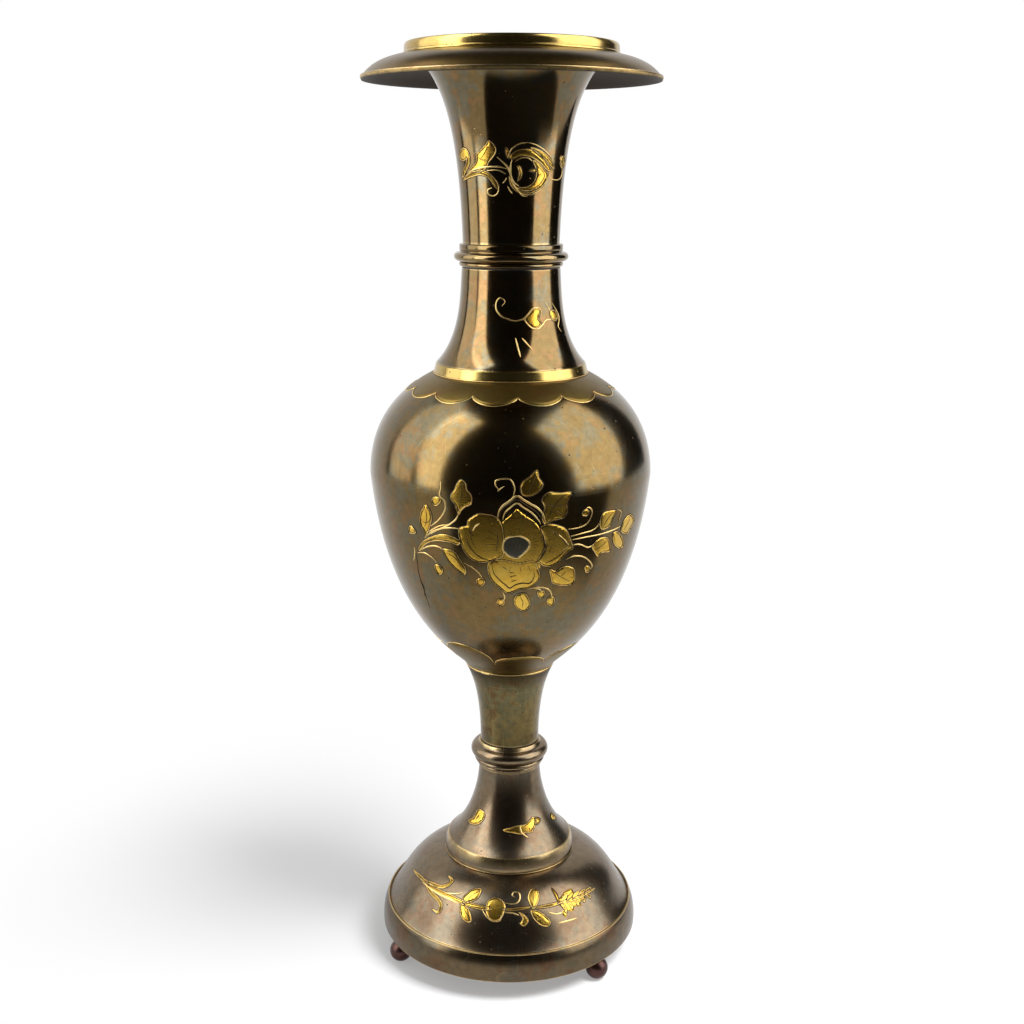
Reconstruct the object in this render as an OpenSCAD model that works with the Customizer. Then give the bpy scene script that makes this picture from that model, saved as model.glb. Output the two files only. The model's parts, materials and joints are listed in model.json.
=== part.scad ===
// Tall footed flower vase in spun and cast brass.
// Three sections screw together: foot, bowl section and mouth section.
// Units are millimetres, +Z is up, the floor is z = 0 and the axis is x = y = 0.
// Profiles are [radius, height] pairs that run upward along the outside.

/* [Metal] */
// Thickness of the spun shells
wall = 2.0; // [1.6:0.1:2.4]
// Radial clearance between parts that sit inside one another
fit_gap = 0.05; // [0.02:0.01:0.1]
// Thickness of the two sealing washers
seal_t = 0.8; // [0.5:0.1:1.2]

/* [Ball feet] */
// Diameter of each ball foot
ball_d = 15.2; // [13:0.2:17]
// Diameter of the worn flat each ball stands on
ball_flat_d = 3.0; // [2:0.2:4]
// Depth each ball is let into the underside of the base
ball_sink = 0.45; // [0.2:0.05:0.8]
// Distance from the lower edge of the base band in to the circle the balls stand on
ball_inset = 4.8; // [4.3:0.1:6.8]
// Direction of the left ball, in degrees from +X
ball_left_at = -152; // [-158:1:-146]
// Direction of the right ball, in degrees from +X
ball_right_at = -45; // [-51:1:-39]
// Direction of the rear ball, in degrees from +X
ball_back_at = 82; // [76:1:88]
// Diameter of the stud that screws each ball into the foot plate
stud_d = 4.0; // [3:0.5:4]

/* [Base] */
// Radius of the base band at its lower edge
band_r = 89.8; // [88.5:0.1:92]
// Radius of the base band at its upper edge
band_top_r = 86.1; // [85.5:0.1:87]
// Height of the base band
band_h = 18.2; // [16:0.1:22]
// Thickness of the foot plate inside the band
plate_t = 3.0; // [2:0.1:4]
// Radius of the opening through the foot plate
plate_open_r = 72.0; // [60:1:76]
// Height of the dome above the band
dome_h = 35.3; // [30:0.1:42]
// Depth of the step that seats the dome in the band
dome_seat = 1.8; // [1.2:0.1:2.4]
// Radius of the step collar at its foot
collar_r = 45.3; // [43:0.1:48]
// Radius of the step collar at its top
collar_top_r = 43.3; // [41:0.1:45]
// Height of the step collar
collar_h = 10.7; // [8:0.1:14]

/* [Stem] */
// Height of the lower stem
low_stem_h = 53.5; // [45:0.5:65]
// Radius of the lower stem at its top
low_stem_r = 21.0; // [20:0.1:23]
// Reach of the flare at the foot of the lower stem
low_stem_flare = 13.1; // [11:0.1:15]
// Height of the knop
knop_h = 17.5; // [17.5:0.5:22]
// Radius of the large bead of the knop
knop_r = 26.7; // [25:0.1:30]
// Height of the small bead at the foot of the knop
knop_foot_h = 2.4; // [2:0.1:2.8]
// Height of the second bead of the knop
knop_step_h = 3.6; // [3:0.1:4]
// Height of the large bead of the knop
knop_bead_h = 9.0; // [8:0.1:9.4]
// Height of the upper stem
up_stem_h = 55.4; // [45:0.5:70]
// Radius of the upper stem at its foot
up_stem_r = 20.1; // [19:0.1:21]
// Radius where the upper stem meets the bowl
stem_top_r = 30.0; // [28:0.1:33]

/* [Bowl] */
// Radius of the bowl at its widest
belly_r = 92.7; // [85:0.1:105]
// Height from the foot of the bowl to its widest part
belly_h = 136.0; // [120:1:150]
// Height from the widest part to the shoulder
shoulder_rise = 65.0; // [55:1:80]
// Radius of the shoulder where the collar sits
shoulder_r = 50.3; // [48:0.1:54]
// Height of the shoulder collar
shoulder_h = 6.3; // [5:0.1:9]
// Radius of the shoulder collar at its top
shoulder_top_r = 48.7; // [48:0.1:52]

/* [Neck] */
// Height of the lower neck
low_neck_h = 60.7; // [50:0.5:75]
// Radius of the lower neck at its top
low_neck_r = 31.7; // [30:0.1:33]
// Height of the neck ring
ring_h = 14.2; // [14:0.1:18]
// Radius of the large bead of the neck ring
ring_r = 36.7; // [35:0.1:40]
// Height of the small bead at the foot of the neck ring
ring_foot_h = 3.3; // [3:0.1:3.8]
// Height of the large bead of the neck ring
ring_bead_h = 6.0; // [5.4:0.1:6.4]
// Radius of the upper neck at its foot
up_neck_r = 31.0; // [30:0.1:32.5]
// Height of the upper neck, up to the mouth flange
up_neck_h = 111.8; // [95:1:130]
// Radius of the upper neck where it meets the mouth flange
up_neck_top_r = 61.5; // [58:0.1:64]

/* [Mouth] */
// Radius of the mouth flange at its edge
brim_r = 93.9; // [86:0.1:105]
// Drop from the seat of the lip ring to the edge of the flange
brim_drop = 13.2; // [9:0.1:18]
// Outer radius of the lip ring
lip_r = 67.2; // [66.5:0.1:70]
// Height of the lip ring
lip_h = 7.2; // [5:0.1:10]
// Wall of the lip ring
lip_t = 3.4; // [2.6:0.1:3.8]

/* [Screw joints] */
// Thread pitch of both screw joints
pitch = 3.0; // [2:0.5:3]
// Turns of engaged thread in each joint
turns = 4; // [3:1:4]
// Depth of the thread grooves
thread_depth = 1.0; // [0.6:0.1:1.2]
// Thickness of each threaded tube below the grooves' crests
tube_wall = 2.6; // [2.4:0.1:3]
// Diameter of the tie rod inside the foot
rod_d = 8.0; // [6:0.5:9]

/* [Hidden] */
$fn = 120;
// Straight steps along each curve
curve_n = 26;
// Steps along each half-round moulding
bead_n = 10;

// Colours of the parts
c_patina = [0.24, 0.20, 0.15];
c_gold = [0.80, 0.62, 0.28];
c_brown = [0.42, 0.31, 0.17];
c_ball = [0.36, 0.14, 0.09];
c_steel = [0.62, 0.62, 0.60];
c_seal = [0.12, 0.10, 0.09];

// Heights of the joints between parts, from the floor up
ball_z = sqrt(pow(ball_d / 2, 2) - pow(ball_flat_d / 2, 2));
base_z = ball_z + ball_d / 2 - ball_sink;
band_top_z = base_z + band_h;
dome_top_z = band_top_z + dome_h;
collar_top_z = dome_top_z + collar_h;
knop_z = collar_top_z + low_stem_h;
knop_top_z = knop_z + knop_h;
up_stem_z = knop_top_z + seal_t;
bowl_z = up_stem_z + up_stem_h;
belly_z = bowl_z + belly_h;
shoulder_z = belly_z + shoulder_rise;
low_neck_z = shoulder_z + shoulder_h;
low_neck_top_z = low_neck_z + low_neck_h;
ring_z = low_neck_top_z + seal_t;
up_neck_z = ring_z + ring_h;
brim_z = up_neck_z + up_neck_h;
lip_z = brim_z + wall;

// Base details
ball_circle_r = band_r - ball_inset;
dome_r = band_top_r - 1.2;
plate_seat_r = band_r - 1.6;
dome_seat_z = band_top_z - dome_seat;
ledge_w = 3.5;
ledge_t = 1.6;

// Screw joints: the crest of the male thread, the bore around it, its length
thread_l = pitch * turns;
stem_bore_r = low_stem_r - wall - 2.95;
stem_thread_r = stem_bore_r - fit_gap;
neck_bore_r = low_neck_r - wall - 2.65;
neck_thread_r = neck_bore_r - fit_gap;
socket_floor_t = 6.0;
// Room left below the end of each male thread
run_out = 3.0;
seal_margin = 0.4;

// Tie rod details
rod_head_h = 4.0;
tie_washer_r = 14.0;
tie_washer_t = 1.6;
tie_nut_r = 8.0;
tie_nut_h = 6.5;
rod_end = 3.0;

// Seat at the top of the bowl
seat_in_r = shoulder_r - 5.8;
spigot_out_r = shoulder_r - 3.8;
spigot_h = shoulder_h - 2.0;

// Grooves and lips between the beads
knop_step_z = knop_z + knop_foot_h;
knop_bead_z = knop_step_z + knop_step_h;
knop_groove_z = knop_bead_z + knop_bead_h;
ring_bead_z = ring_z + ring_foot_h;
ring_groove_z = ring_bead_z + ring_bead_h;
groove_h = 0.6;
bead_root = 1.4;

// Mouth details
brim_hole_r = up_neck_top_r - 0.6;
lip_round = 1.2;

// ---- Curves ----

// Points of the cubic curve from a to d, pulled towards b and c
function curve(a, b, c, d) = [
    for (i = [0:curve_n])
        let (t = i / curve_n, u = 1 - t)
        u * u * u * a + 3 * u * u * t * b + 3 * u * t * t * c + t * t * t * d
];

// Points of a half-round moulding between heights z0 and z1, standing out by `out` from r
function bead(r, z0, z1, out) = [
    for (i = [0:bead_n])
        let (a = -90 + 180 * i / bead_n)
        [r + out * cos(a), (z0 + z1) / 2 + (z1 - z0) / 2 * sin(a)]
];

function reversed(p) = [for (i = [len(p) - 1:-1:0]) p[i]];

// Direction of travel at point i of a curve
function heading(p, i) =
    let (d = p[min(i + 1, len(p) - 1)] - p[max(i - 1, 0)])
    d / norm(d);

// The curve moved by the shell's thickness towards the axis
function inner_side(p) = [
    for (i = [0:len(p) - 1])
        let (d = heading(p, i))
        p[i] + wall * [-d[1], d[0]]
];

// ---- Outlines ----

band_line = curve([band_r, base_z], [band_r + 0.6, base_z + band_h * 0.44],
    [band_top_r + 2.4, base_z + band_h * 0.80], [band_top_r, band_top_z]);

dome_line = curve([dome_r, band_top_z], [dome_r - 7.9, band_top_z + dome_h * 0.23],
    [dome_r - 12.2, dome_top_z - dome_h * 0.15], [collar_r, dome_top_z]);

low_stem_line = curve([collar_top_r - 0.3, collar_top_z],
    [low_stem_r + low_stem_flare, collar_top_z + low_stem_h * 0.12],
    [low_stem_r + 1.3, collar_top_z + low_stem_h * 0.47], [low_stem_r, knop_z]);

up_stem_line = curve([up_stem_r, up_stem_z], [up_stem_r, up_stem_z + up_stem_h * 0.39],
    [up_stem_r + 2.5, bowl_z - up_stem_h * 0.25], [stem_top_r, bowl_z]);

bowl_low_line = curve([stem_top_r, bowl_z], [stem_top_r - 3.4, bowl_z + belly_h * 0.051],
    [belly_r - 10.5, bowl_z + belly_h * 0.181], [belly_r, belly_z]);

bowl_top_line = curve([belly_r, belly_z], [belly_r - 0.3, belly_z + shoulder_rise * 0.318],
    [belly_r - 7.7, shoulder_z - shoulder_rise * 0.26], [shoulder_r, shoulder_z]);

bowl_line = concat(bowl_low_line, [for (i = [1:curve_n]) bowl_top_line[i]]);

low_neck_line = curve([shoulder_top_r, low_neck_z], [low_neck_r + 0.2, low_neck_z + low_neck_h * 0.28],
    [low_neck_r + 1.1, low_neck_top_z - low_neck_h * 0.23], [low_neck_r, low_neck_top_z]);

up_neck_line = curve([up_neck_r, up_neck_z], [up_neck_r + 1.8, up_neck_z + up_neck_h * 0.54],
    [up_neck_r + 9.7, brim_z - up_neck_h * 0.08], [up_neck_top_r, brim_z]);

brim_line = reversed(curve([lip_r, lip_z], [brim_r - 5.1, lip_z - brim_drop * 0.24],
    [brim_r - 3.0, lip_z - brim_drop * 0.92], [brim_r, lip_z - brim_drop]));

// ---- Building blocks ----

module turned(points) {
    rotate_extrude() polygon(points);
}

// A shell under the given outside line, cut level at heights z0 and z1
module shell(line, z0, z1) {
    intersection() {
        turned(concat(line, reversed(inner_side(line))));
        translate([0, 0, z0]) cylinder(r = 2 * belly_r, h = z1 - z0);
    }
}

module tube(r_out, r_in, z0, z1) {
    translate([0, 0, z0]) difference() {
        cylinder(r = r_out, h = z1 - z0);
        translate([0, 0, -1]) cylinder(r = r_in, h = z1 - z0 + 2);
    }
}

// Male thread shown as V grooves, crests at radius r, hanging below height z1
module threaded_tube(r, z1) {
    z0 = z1 - thread_l;
    grooves = [
        for (i = [0:turns - 1])
            for (p = [[0, 0], [0.3, 0], [0.5, thread_depth], [0.7, 0]])
                [r - p[1], z0 + (i + p[0]) * pitch]
    ];
    turned(concat([[r - tube_wall, z0]], grooves, [[r, z1], [r - tube_wall, z1]]));
}

// ---- Foot ----

module ball(angle) {
    rotate([0, 0, angle]) translate([ball_circle_r, 0, 0]) {
        intersection() {
            translate([0, 0, ball_z]) sphere(d = ball_d);
            cylinder(d = 2 * ball_d, h = base_z);
        }
        translate([0, 0, ball_z]) cylinder(d = stud_d, h = base_z - ball_z + plate_t);
    }
}

module ball_left() {
    color(c_ball) ball(ball_left_at);
}

module ball_right() {
    color(c_ball) ball(ball_right_at);
}

module ball_back() {
    color(c_ball) ball(ball_back_at);
}

module foot_plate() {
    color(c_brown) difference() {
        tube(plate_seat_r - fit_gap, plate_open_r, base_z, base_z + plate_t);
        for (angle = [ball_left_at, ball_right_at, ball_back_at])
            rotate([0, 0, angle]) translate([ball_circle_r, 0, base_z - 1])
                cylinder(r = stud_d / 2 + fit_gap, h = plate_t + 2);
    }
}

module base_band() {
    shoulder_at = base_z + plate_t;
    color(c_brown) turned(concat(band_line, [
        [dome_r + fit_gap, band_top_z],
        [dome_r + fit_gap, dome_seat_z],
        [dome_r - ledge_w, dome_seat_z],
        [dome_r - ledge_w, dome_seat_z - ledge_t],
        [dome_r - wall / 2, dome_seat_z - ledge_t],
        [plate_seat_r - wall, shoulder_at],
        [plate_seat_r, shoulder_at],
        [plate_seat_r, base_z]
    ]));
}

module base_dome() {
    color(c_brown) union() {
        shell(dome_line, band_top_z, dome_top_z);
        tube(dome_r, dome_r - wall, dome_seat_z, band_top_z + wall / 2);
        tube(collar_r, rod_d / 2 + fit_gap, dome_top_z - wall, dome_top_z);
    }
}

module step_collar() {
    land_r = collar_top_r - 6;
    color(c_brown) turned([
        [collar_r - wall, dome_top_z],
        [collar_r, dome_top_z],
        [collar_top_r, collar_top_z],
        [land_r, collar_top_z],
        [land_r, collar_top_z - wall],
        [collar_top_r - wall, collar_top_z - wall]
    ]);
}

module lower_stem() {
    color(c_patina) shell(low_stem_line, collar_top_z, knop_z);
}

module knop() {
    color(c_patina) turned(concat(
        [[low_stem_r - wall, knop_z]],
        bead(low_stem_r + 0.4, knop_z, knop_step_z, 1.1),
        bead(low_stem_r + bead_root, knop_step_z, knop_bead_z, 1.8),
        bead(low_stem_r + bead_root, knop_bead_z, knop_groove_z, knop_r - low_stem_r - bead_root),
        [[low_stem_r + 0.8, knop_groove_z + groove_h],
        [low_stem_r - 0.1, knop_top_z],
        [low_stem_r - wall, knop_top_z]]
    ));
}

module stem_socket() {
    floor_z = knop_top_z - thread_l - run_out - rod_head_h - socket_floor_t;
    color(c_gold) difference() {
        translate([0, 0, floor_z])
            cylinder(r = low_stem_r - wall - fit_gap, h = knop_top_z - floor_z);
        translate([0, 0, floor_z + socket_floor_t]) cylinder(r = stem_bore_r, h = 2 * thread_l);
        translate([0, 0, floor_z - 1]) cylinder(r = rod_d / 2 + fit_gap, h = 2 * thread_l);
    }
}

module tie_rod() {
    head_z = knop_top_z - thread_l - run_out - rod_head_h;
    foot_z = dome_top_z - wall - tie_washer_t - tie_nut_h - rod_end;
    color(c_steel) union() {
        translate([0, 0, foot_z]) cylinder(d = rod_d, h = head_z - foot_z + 1);
        translate([0, 0, head_z]) cylinder(d = 1.8 * rod_d, h = rod_head_h - fit_gap);
    }
}

module tie_washer() {
    top_z = dome_top_z - wall;
    color(c_steel) tube(tie_washer_r, rod_d / 2 + fit_gap, top_z - tie_washer_t, top_z);
}

module tie_nut() {
    top_z = dome_top_z - wall - tie_washer_t;
    color(c_steel) translate([0, 0, top_z - tie_nut_h]) difference() {
        cylinder(r = tie_nut_r, h = tie_nut_h, $fn = 6);
        translate([0, 0, -1]) cylinder(r = rod_d / 2 + fit_gap, h = tie_nut_h + 2);
    }
}

// ---- Bowl section ----

module stem_seal() {
    color(c_seal) tube(up_stem_r - seal_margin, stem_bore_r, knop_top_z, up_stem_z);
}

module stem_spigot() {
    plug_r = up_stem_r - wall - fit_gap;
    color(c_gold) union() {
        threaded_tube(stem_thread_r, knop_top_z);
        tube(stem_thread_r, stem_thread_r - tube_wall, knop_top_z - pitch / 4, up_stem_z);
        tube(plug_r, stem_thread_r - tube_wall, up_stem_z, up_stem_z + thread_l / 2);
    }
}

module upper_stem() {
    color(c_patina) union() {
        shell(up_stem_line, up_stem_z, bowl_z);
        tube(stem_top_r - 1, stem_top_r - 2 * wall, bowl_z - wall / 2, bowl_z);
    }
}

module bowl() {
    color(c_patina) union() {
        shell(bowl_line, bowl_z, shoulder_z);
        translate([0, 0, bowl_z]) cylinder(r = stem_top_r - wall / 2, h = wall);
        tube(shoulder_r - 0.3, seat_in_r, shoulder_z - wall, shoulder_z);
        tube(spigot_out_r, seat_in_r, shoulder_z - wall / 2, shoulder_z + spigot_h);
    }
}

module shoulder_collar() {
    bore_r = spigot_out_r + fit_gap;
    color(c_gold) turned([
        [bore_r, shoulder_z],
        [shoulder_r, shoulder_z],
        [shoulder_top_r, low_neck_z],
        [bore_r, low_neck_z]
    ]);
}

module lower_neck() {
    color(c_patina) shell(low_neck_line, low_neck_z, low_neck_top_z);
}

module neck_socket() {
    floor_z = low_neck_top_z - thread_l - run_out;
    color(c_gold) tube(low_neck_r - wall - fit_gap, neck_bore_r, floor_z, low_neck_top_z);
}

// ---- Mouth section ----

module neck_seal() {
    color(c_seal) tube(low_neck_r - seal_margin, neck_bore_r, low_neck_top_z, ring_z);
}

module neck_spigot() {
    plug_r = up_neck_r - wall - 2 * fit_gap;
    color(c_gold) union() {
        threaded_tube(neck_thread_r, low_neck_top_z);
        tube(neck_thread_r, neck_thread_r - tube_wall, low_neck_top_z - pitch / 4, ring_z);
        tube(plug_r, neck_thread_r - tube_wall, ring_z, up_neck_z);
    }
}

module neck_ring() {
    bore_r = up_neck_r - wall - fit_gap;
    color(c_patina) turned(concat(
        [[bore_r, ring_z]],
        bead(low_neck_r, ring_z, ring_bead_z, 1.7),
        bead(low_neck_r + bead_root, ring_bead_z, ring_groove_z, ring_r - low_neck_r - bead_root),
        [[low_neck_r + 1.1, ring_groove_z + groove_h],
        [low_neck_r + 1.5, ring_groove_z + groove_h + 0.4],
        [low_neck_r + 1.5, up_neck_z - 0.5],
        [low_neck_r + 1.0, up_neck_z],
        [bore_r, up_neck_z]]
    ));
}

module upper_neck() {
    color(c_patina) shell(up_neck_line, up_neck_z, brim_z);
}

module mouth_flange() {
    color(c_brown) union() {
        turned(concat(brim_line, reversed(inner_side(brim_line))));
        turned([
            [brim_hole_r - 1.4 * wall / 2, brim_z],
            [lip_r + wall / 2, brim_z],
            [lip_r, lip_z],
            [brim_hole_r, lip_z]
        ]);
    }
}

module lip_ring() {
    top_z = lip_z + lip_h;
    color(c_gold) turned([
        [lip_r - lip_t, lip_z],
        [lip_r, lip_z],
        [lip_r, top_z - lip_round],
        [lip_r - lip_round * 0.13, top_z - lip_round * 0.5],
        [lip_r - lip_round * 0.5, top_z - lip_round * 0.13],
        [lip_r - lip_round, top_z],
        [lip_r - lip_t + lip_round / 2, top_z],
        [lip_r - lip_t, top_z - lip_round / 2]
    ]);
}

ball_left();
ball_right();
ball_back();
foot_plate();
base_band();
base_dome();
step_collar();
lower_stem();
knop();
stem_socket();
tie_rod();
tie_washer();
tie_nut();
stem_seal();
stem_spigot();
upper_stem();
bowl();
shoulder_collar();
lower_neck();
neck_socket();
neck_seal();
neck_spigot();
neck_ring();
upper_neck();
mouth_flange();
lip_ring();
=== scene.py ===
"""Looks of a tall footed flower vase in spun and cast brass.

Turned shells, chased flowers, ball feet and screw joints are built in metres
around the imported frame. Heights come from the frame's nodes; radii are in
millimetres and follow the same outlines as the solids.
"""
import json
import logging
import math
from dataclasses import dataclass, field
from enum import Enum

import bmesh
import bpy
from mathutils import Matrix, Vector
from mathutils.geometry import delaunay_2d_cdt

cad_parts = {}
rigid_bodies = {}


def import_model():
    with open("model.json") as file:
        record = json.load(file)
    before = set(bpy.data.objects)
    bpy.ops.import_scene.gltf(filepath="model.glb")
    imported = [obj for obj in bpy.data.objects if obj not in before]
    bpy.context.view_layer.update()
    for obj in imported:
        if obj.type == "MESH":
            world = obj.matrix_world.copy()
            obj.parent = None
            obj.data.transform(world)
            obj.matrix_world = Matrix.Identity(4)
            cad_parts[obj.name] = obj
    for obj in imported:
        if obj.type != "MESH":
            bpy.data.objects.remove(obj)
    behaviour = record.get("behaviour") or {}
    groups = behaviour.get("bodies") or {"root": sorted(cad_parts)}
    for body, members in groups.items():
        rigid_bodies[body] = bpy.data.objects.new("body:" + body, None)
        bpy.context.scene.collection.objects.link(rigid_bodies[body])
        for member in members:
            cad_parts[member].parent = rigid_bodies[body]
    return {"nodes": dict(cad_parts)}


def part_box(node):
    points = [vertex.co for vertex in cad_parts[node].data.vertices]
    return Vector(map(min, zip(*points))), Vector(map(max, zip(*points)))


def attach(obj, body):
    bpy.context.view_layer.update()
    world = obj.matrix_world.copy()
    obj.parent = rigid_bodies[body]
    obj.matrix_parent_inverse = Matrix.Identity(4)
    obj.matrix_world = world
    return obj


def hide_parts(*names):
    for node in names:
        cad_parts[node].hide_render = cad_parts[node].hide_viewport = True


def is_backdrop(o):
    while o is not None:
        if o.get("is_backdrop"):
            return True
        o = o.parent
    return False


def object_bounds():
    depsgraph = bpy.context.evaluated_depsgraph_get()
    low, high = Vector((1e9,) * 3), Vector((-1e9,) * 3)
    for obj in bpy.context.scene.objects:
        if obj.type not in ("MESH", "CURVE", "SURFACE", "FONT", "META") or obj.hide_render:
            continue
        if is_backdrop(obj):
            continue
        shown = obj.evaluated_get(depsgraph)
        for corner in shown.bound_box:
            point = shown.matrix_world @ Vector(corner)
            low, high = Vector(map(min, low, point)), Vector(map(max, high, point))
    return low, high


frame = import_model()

MM = 0.001
SEGMENTS = 288
BALL_SEGMENTS = 64
SPIGOT_SEGMENTS = 144
HOOP_STEPS = 240
THREAD_STEPS = 384
THREAD_PITCH = 3.0
THREAD_DEPTH = 1.0
THREAD_TURNS = 4.0
THREAD_SECTION = ((-0.25, -1.1), (0.0, -1.1), (0.9, -0.42), (0.9, 0.42), (0.0, 1.1), (-0.25, 1.1))
SPIGOT_WALL = 2.6
SLAB_FOOT = -0.3
SAME_POINT = 1e-4
CAMERA_AT = (0.00115, -0.871, 0.5293)
CAMERA_TILT, CAMERA_ROLL = 76.0, 0.217
CAMERA_LENS, CAMERA_SENSOR = 47.04, 36.0
SOOT = (0.03, 0.02, 0.012)
# Colour laid in the middle of each punched dot: painted shade in the dents.
PUNCH_DENT_SHADE = (0.10, 0.055, 0.02)
log = logging.getLogger("vase")
Point = tuple[float, float]
Line = list[Point]
Rgb = tuple[float, float, float]


class Side(Enum):
    """Which side of a turned shell a point of its outline lies on."""

    OUTER = 0.0
    INNER = 1.0


class Relief(Enum):
    """A kind of chased mark: end of its name, finish, slot, lift in millimetres and share of its thickness."""

    LEAF = ("_leaves", "chased_leaf", "patina_brass", 0.0, 1.0)
    LINE = ("_lines", "chased_line", "gold_brass", 0.10, 0.5)
    # Cut lines stand raised; their dark colour is painted shade of chased grooves.
    CUT = ("_cuts", "chased_cut", "patina_brass", 0.14, 0.9)
    EYE = ("_eye", "dark_eye", "patina_brass", 0.13, 1.0)
    HOOP = ("", "rubbed_edge", "gold_brass", 0.0, 0.8)
    BAND = ("", "scallop_band", "brown_brass", 0.0, 1.0)
    BAND_EDGE = ("_edge", "chased_line", "gold_brass", 0.1, 0.6)
    BAND_BASE = ("_base", "chased_line", "gold_brass", 0.1, 0.8)


# ---- Outlines ----

def cubic(a: Point, b: Point, c: Point, d: Point, steps: int = 56) -> Line:
    """Samples a cubic curve.

    Args:
        a, b, c, d: End, handle, handle and end, as radius and height.
        steps: Number of straight steps.

    Returns:
        The points from a to d.
    """
    out = []
    for i in range(steps + 1):
        t = i / steps
        u = 1 - t
        w = (u ** 3, 3 * u * u * t, 3 * u * t * t, t ** 3)
        out.append(tuple(sum(k * p[n] for k, p in zip(w, (a, b, c, d))) for n in (0, 1)))
    return out


def bead(r: float, z0: float, z1: float, out: float, steps: int = 22) -> Line:
    """Samples a half-round moulding.

    Args:
        r: Radius where the moulding starts and ends.
        z0, z1: Heights of its foot and top.
        out: How far it stands out.
        steps: Number of straight steps.

    Returns:
        The points from foot to top.
    """
    mid, half = (z0 + z1) / 2, (z1 - z0) / 2
    turns = [math.pi * (i / steps - 0.5) for i in range(steps + 1)]
    return [(r + out * math.cos(a), mid + half * math.sin(a)) for a in turns]


def inner_side(line: Line, wall: float, low: float, high: float) -> Line:
    """Moves an outside line towards the axis by the wall and cuts it level.

    Args:
        line: Outside line, from foot to top.
        wall: Thickness of the shell.
        low, high: Heights at which the shell ends.

    Returns:
        The inside line from top to foot.
    """
    moved = []
    for i, (r, z) in enumerate(line):
        a, b = line[max(i - 1, 0)], line[min(i + 1, len(line) - 1)]
        dr, dz = b[0] - a[0], b[1] - a[1]
        size = math.hypot(dr, dz)
        moved.append((r - wall * dz / size, z + wall * dr / size))
    kept = [p for p in moved if low < p[1] < high]
    for level, place in ((low, 0), (high, len(kept))):
        for a, b in zip(moved, moved[1:]):
            if (a[1] - level) * (b[1] - level) < 0:
                t = (level - a[1]) / (b[1] - a[1])
                kept.insert(place, (a[0] + t * (b[0] - a[0]), level))
                break
        else:
            edge = kept[0] if place == 0 else kept[-1]
            if abs(edge[1] - level) > 1e-6:
                kept.insert(place, (edge[0], level))
    return kept[::-1]


@dataclass
class Outline:
    """Closed outline of a turned piece, with marks for wear and for its inside; the inside mark also carries painted
    shade.

    Attributes:
        points: Radius and height of each point.
        worn: 1 where hands and cloths polish the metal.
        inner: 1 on the inside of a shell; shares of it on an outside paint shade there.
    """

    points: Line = field(default_factory=list)
    worn: list[float] = field(default_factory=list)
    inner: list[float] = field(default_factory=list)

    def put(self, point: Point, worn: float, inner: float) -> None:
        """Adds one point with its marks."""
        self.points.append(point)
        self.worn.append(worn)
        self.inner.append(inner)

    def run(self, points: Line, side: Side = Side.OUTER, worn: float = 0.0) -> "Outline":
        """Adds a smooth run of points and returns the outline."""
        for p in points:
            if not self.points or math.dist(p, self.points[-1]) >= SAME_POINT:
                self.put(p, worn, side.value)
        return self

    def closed(self, edge: float = 0.35, sharp: float = 24.0) -> "Outline":
        """Rounds each sharp corner and closes the outline.

        Args:
            edge: Radius of the small rounding on a corner.
            sharp: Turn in degrees above which a corner is rounded.

        Returns:
            A new outline whose last point is its first.
        """
        out = Outline()
        pts, n = self.points, len(self.points)
        for i, p in enumerate(pts):
            a, b = pts[i - 1], pts[(i + 1) % n]
            la, lb = math.dist(p, a), math.dist(p, b)
            ua, ub = (((q[0] - p[0]) / size, (q[1] - p[1]) / size) for q, size in ((a, la), (b, lb)))
            cosine = max(-1.0, min(1.0, ua[0] * ub[0] + ua[1] * ub[1]))
            if 180 - math.degrees(math.acos(cosine)) < sharp or p[0] < SAME_POINT:
                out.put(p, self.worn[i], self.inner[i])
                continue
            cut = min(edge, 0.42 * la, 0.42 * lb)
            reach_a, reach_b = (min(2.2 * cut, 0.48 * size) for size in (la, lb))
            corner = [(p[0] + ua[0] * reach_a, p[1] + ua[1] * reach_a)]
            for t in (0.0, 0.25, 0.5, 0.75, 1.0):
                corner.append(tuple(p[k] + cut * ((1 - t) ** 2 * ua[k] + t * t * ub[k]) for k in (0, 1)))
            corner.append((p[0] + ub[0] * reach_b, p[1] + ub[1] * reach_b))
            for q in corner:
                out.put(q, float(ua[0] * ub[1] < ua[1] * ub[0]), self.inner[i])
        out.put(out.points[0], out.worn[0], out.inner[0])
        return out


def span(node: str) -> Point:
    """Returns the heights of a CAD node's foot and top, in millimetres."""
    low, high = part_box(node)
    return low.z / MM, high.z / MM


# ---- Node trees ----

@dataclass(frozen=True)
class Value:
    """An output of a node, which can be calculated with.

    Attributes:
        graph: Builder of the node's tree.
        socket: The output.
    """

    graph: "Graph"
    socket: bpy.types.NodeSocket

    def __add__(self, other: object) -> "Value":
        """Returns the sum."""
        return self.graph.math("ADD", self, other)

    def __sub__(self, other: object) -> "Value":
        """Returns the difference."""
        return self.graph.math("SUBTRACT", self, other)

    def __mul__(self, other: object) -> "Value":
        """Returns the product."""
        return self.graph.math("MULTIPLY", self, other)

    def __truediv__(self, other: object) -> "Value":
        """Returns the quotient."""
        return self.graph.math("DIVIDE", self, other)


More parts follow.
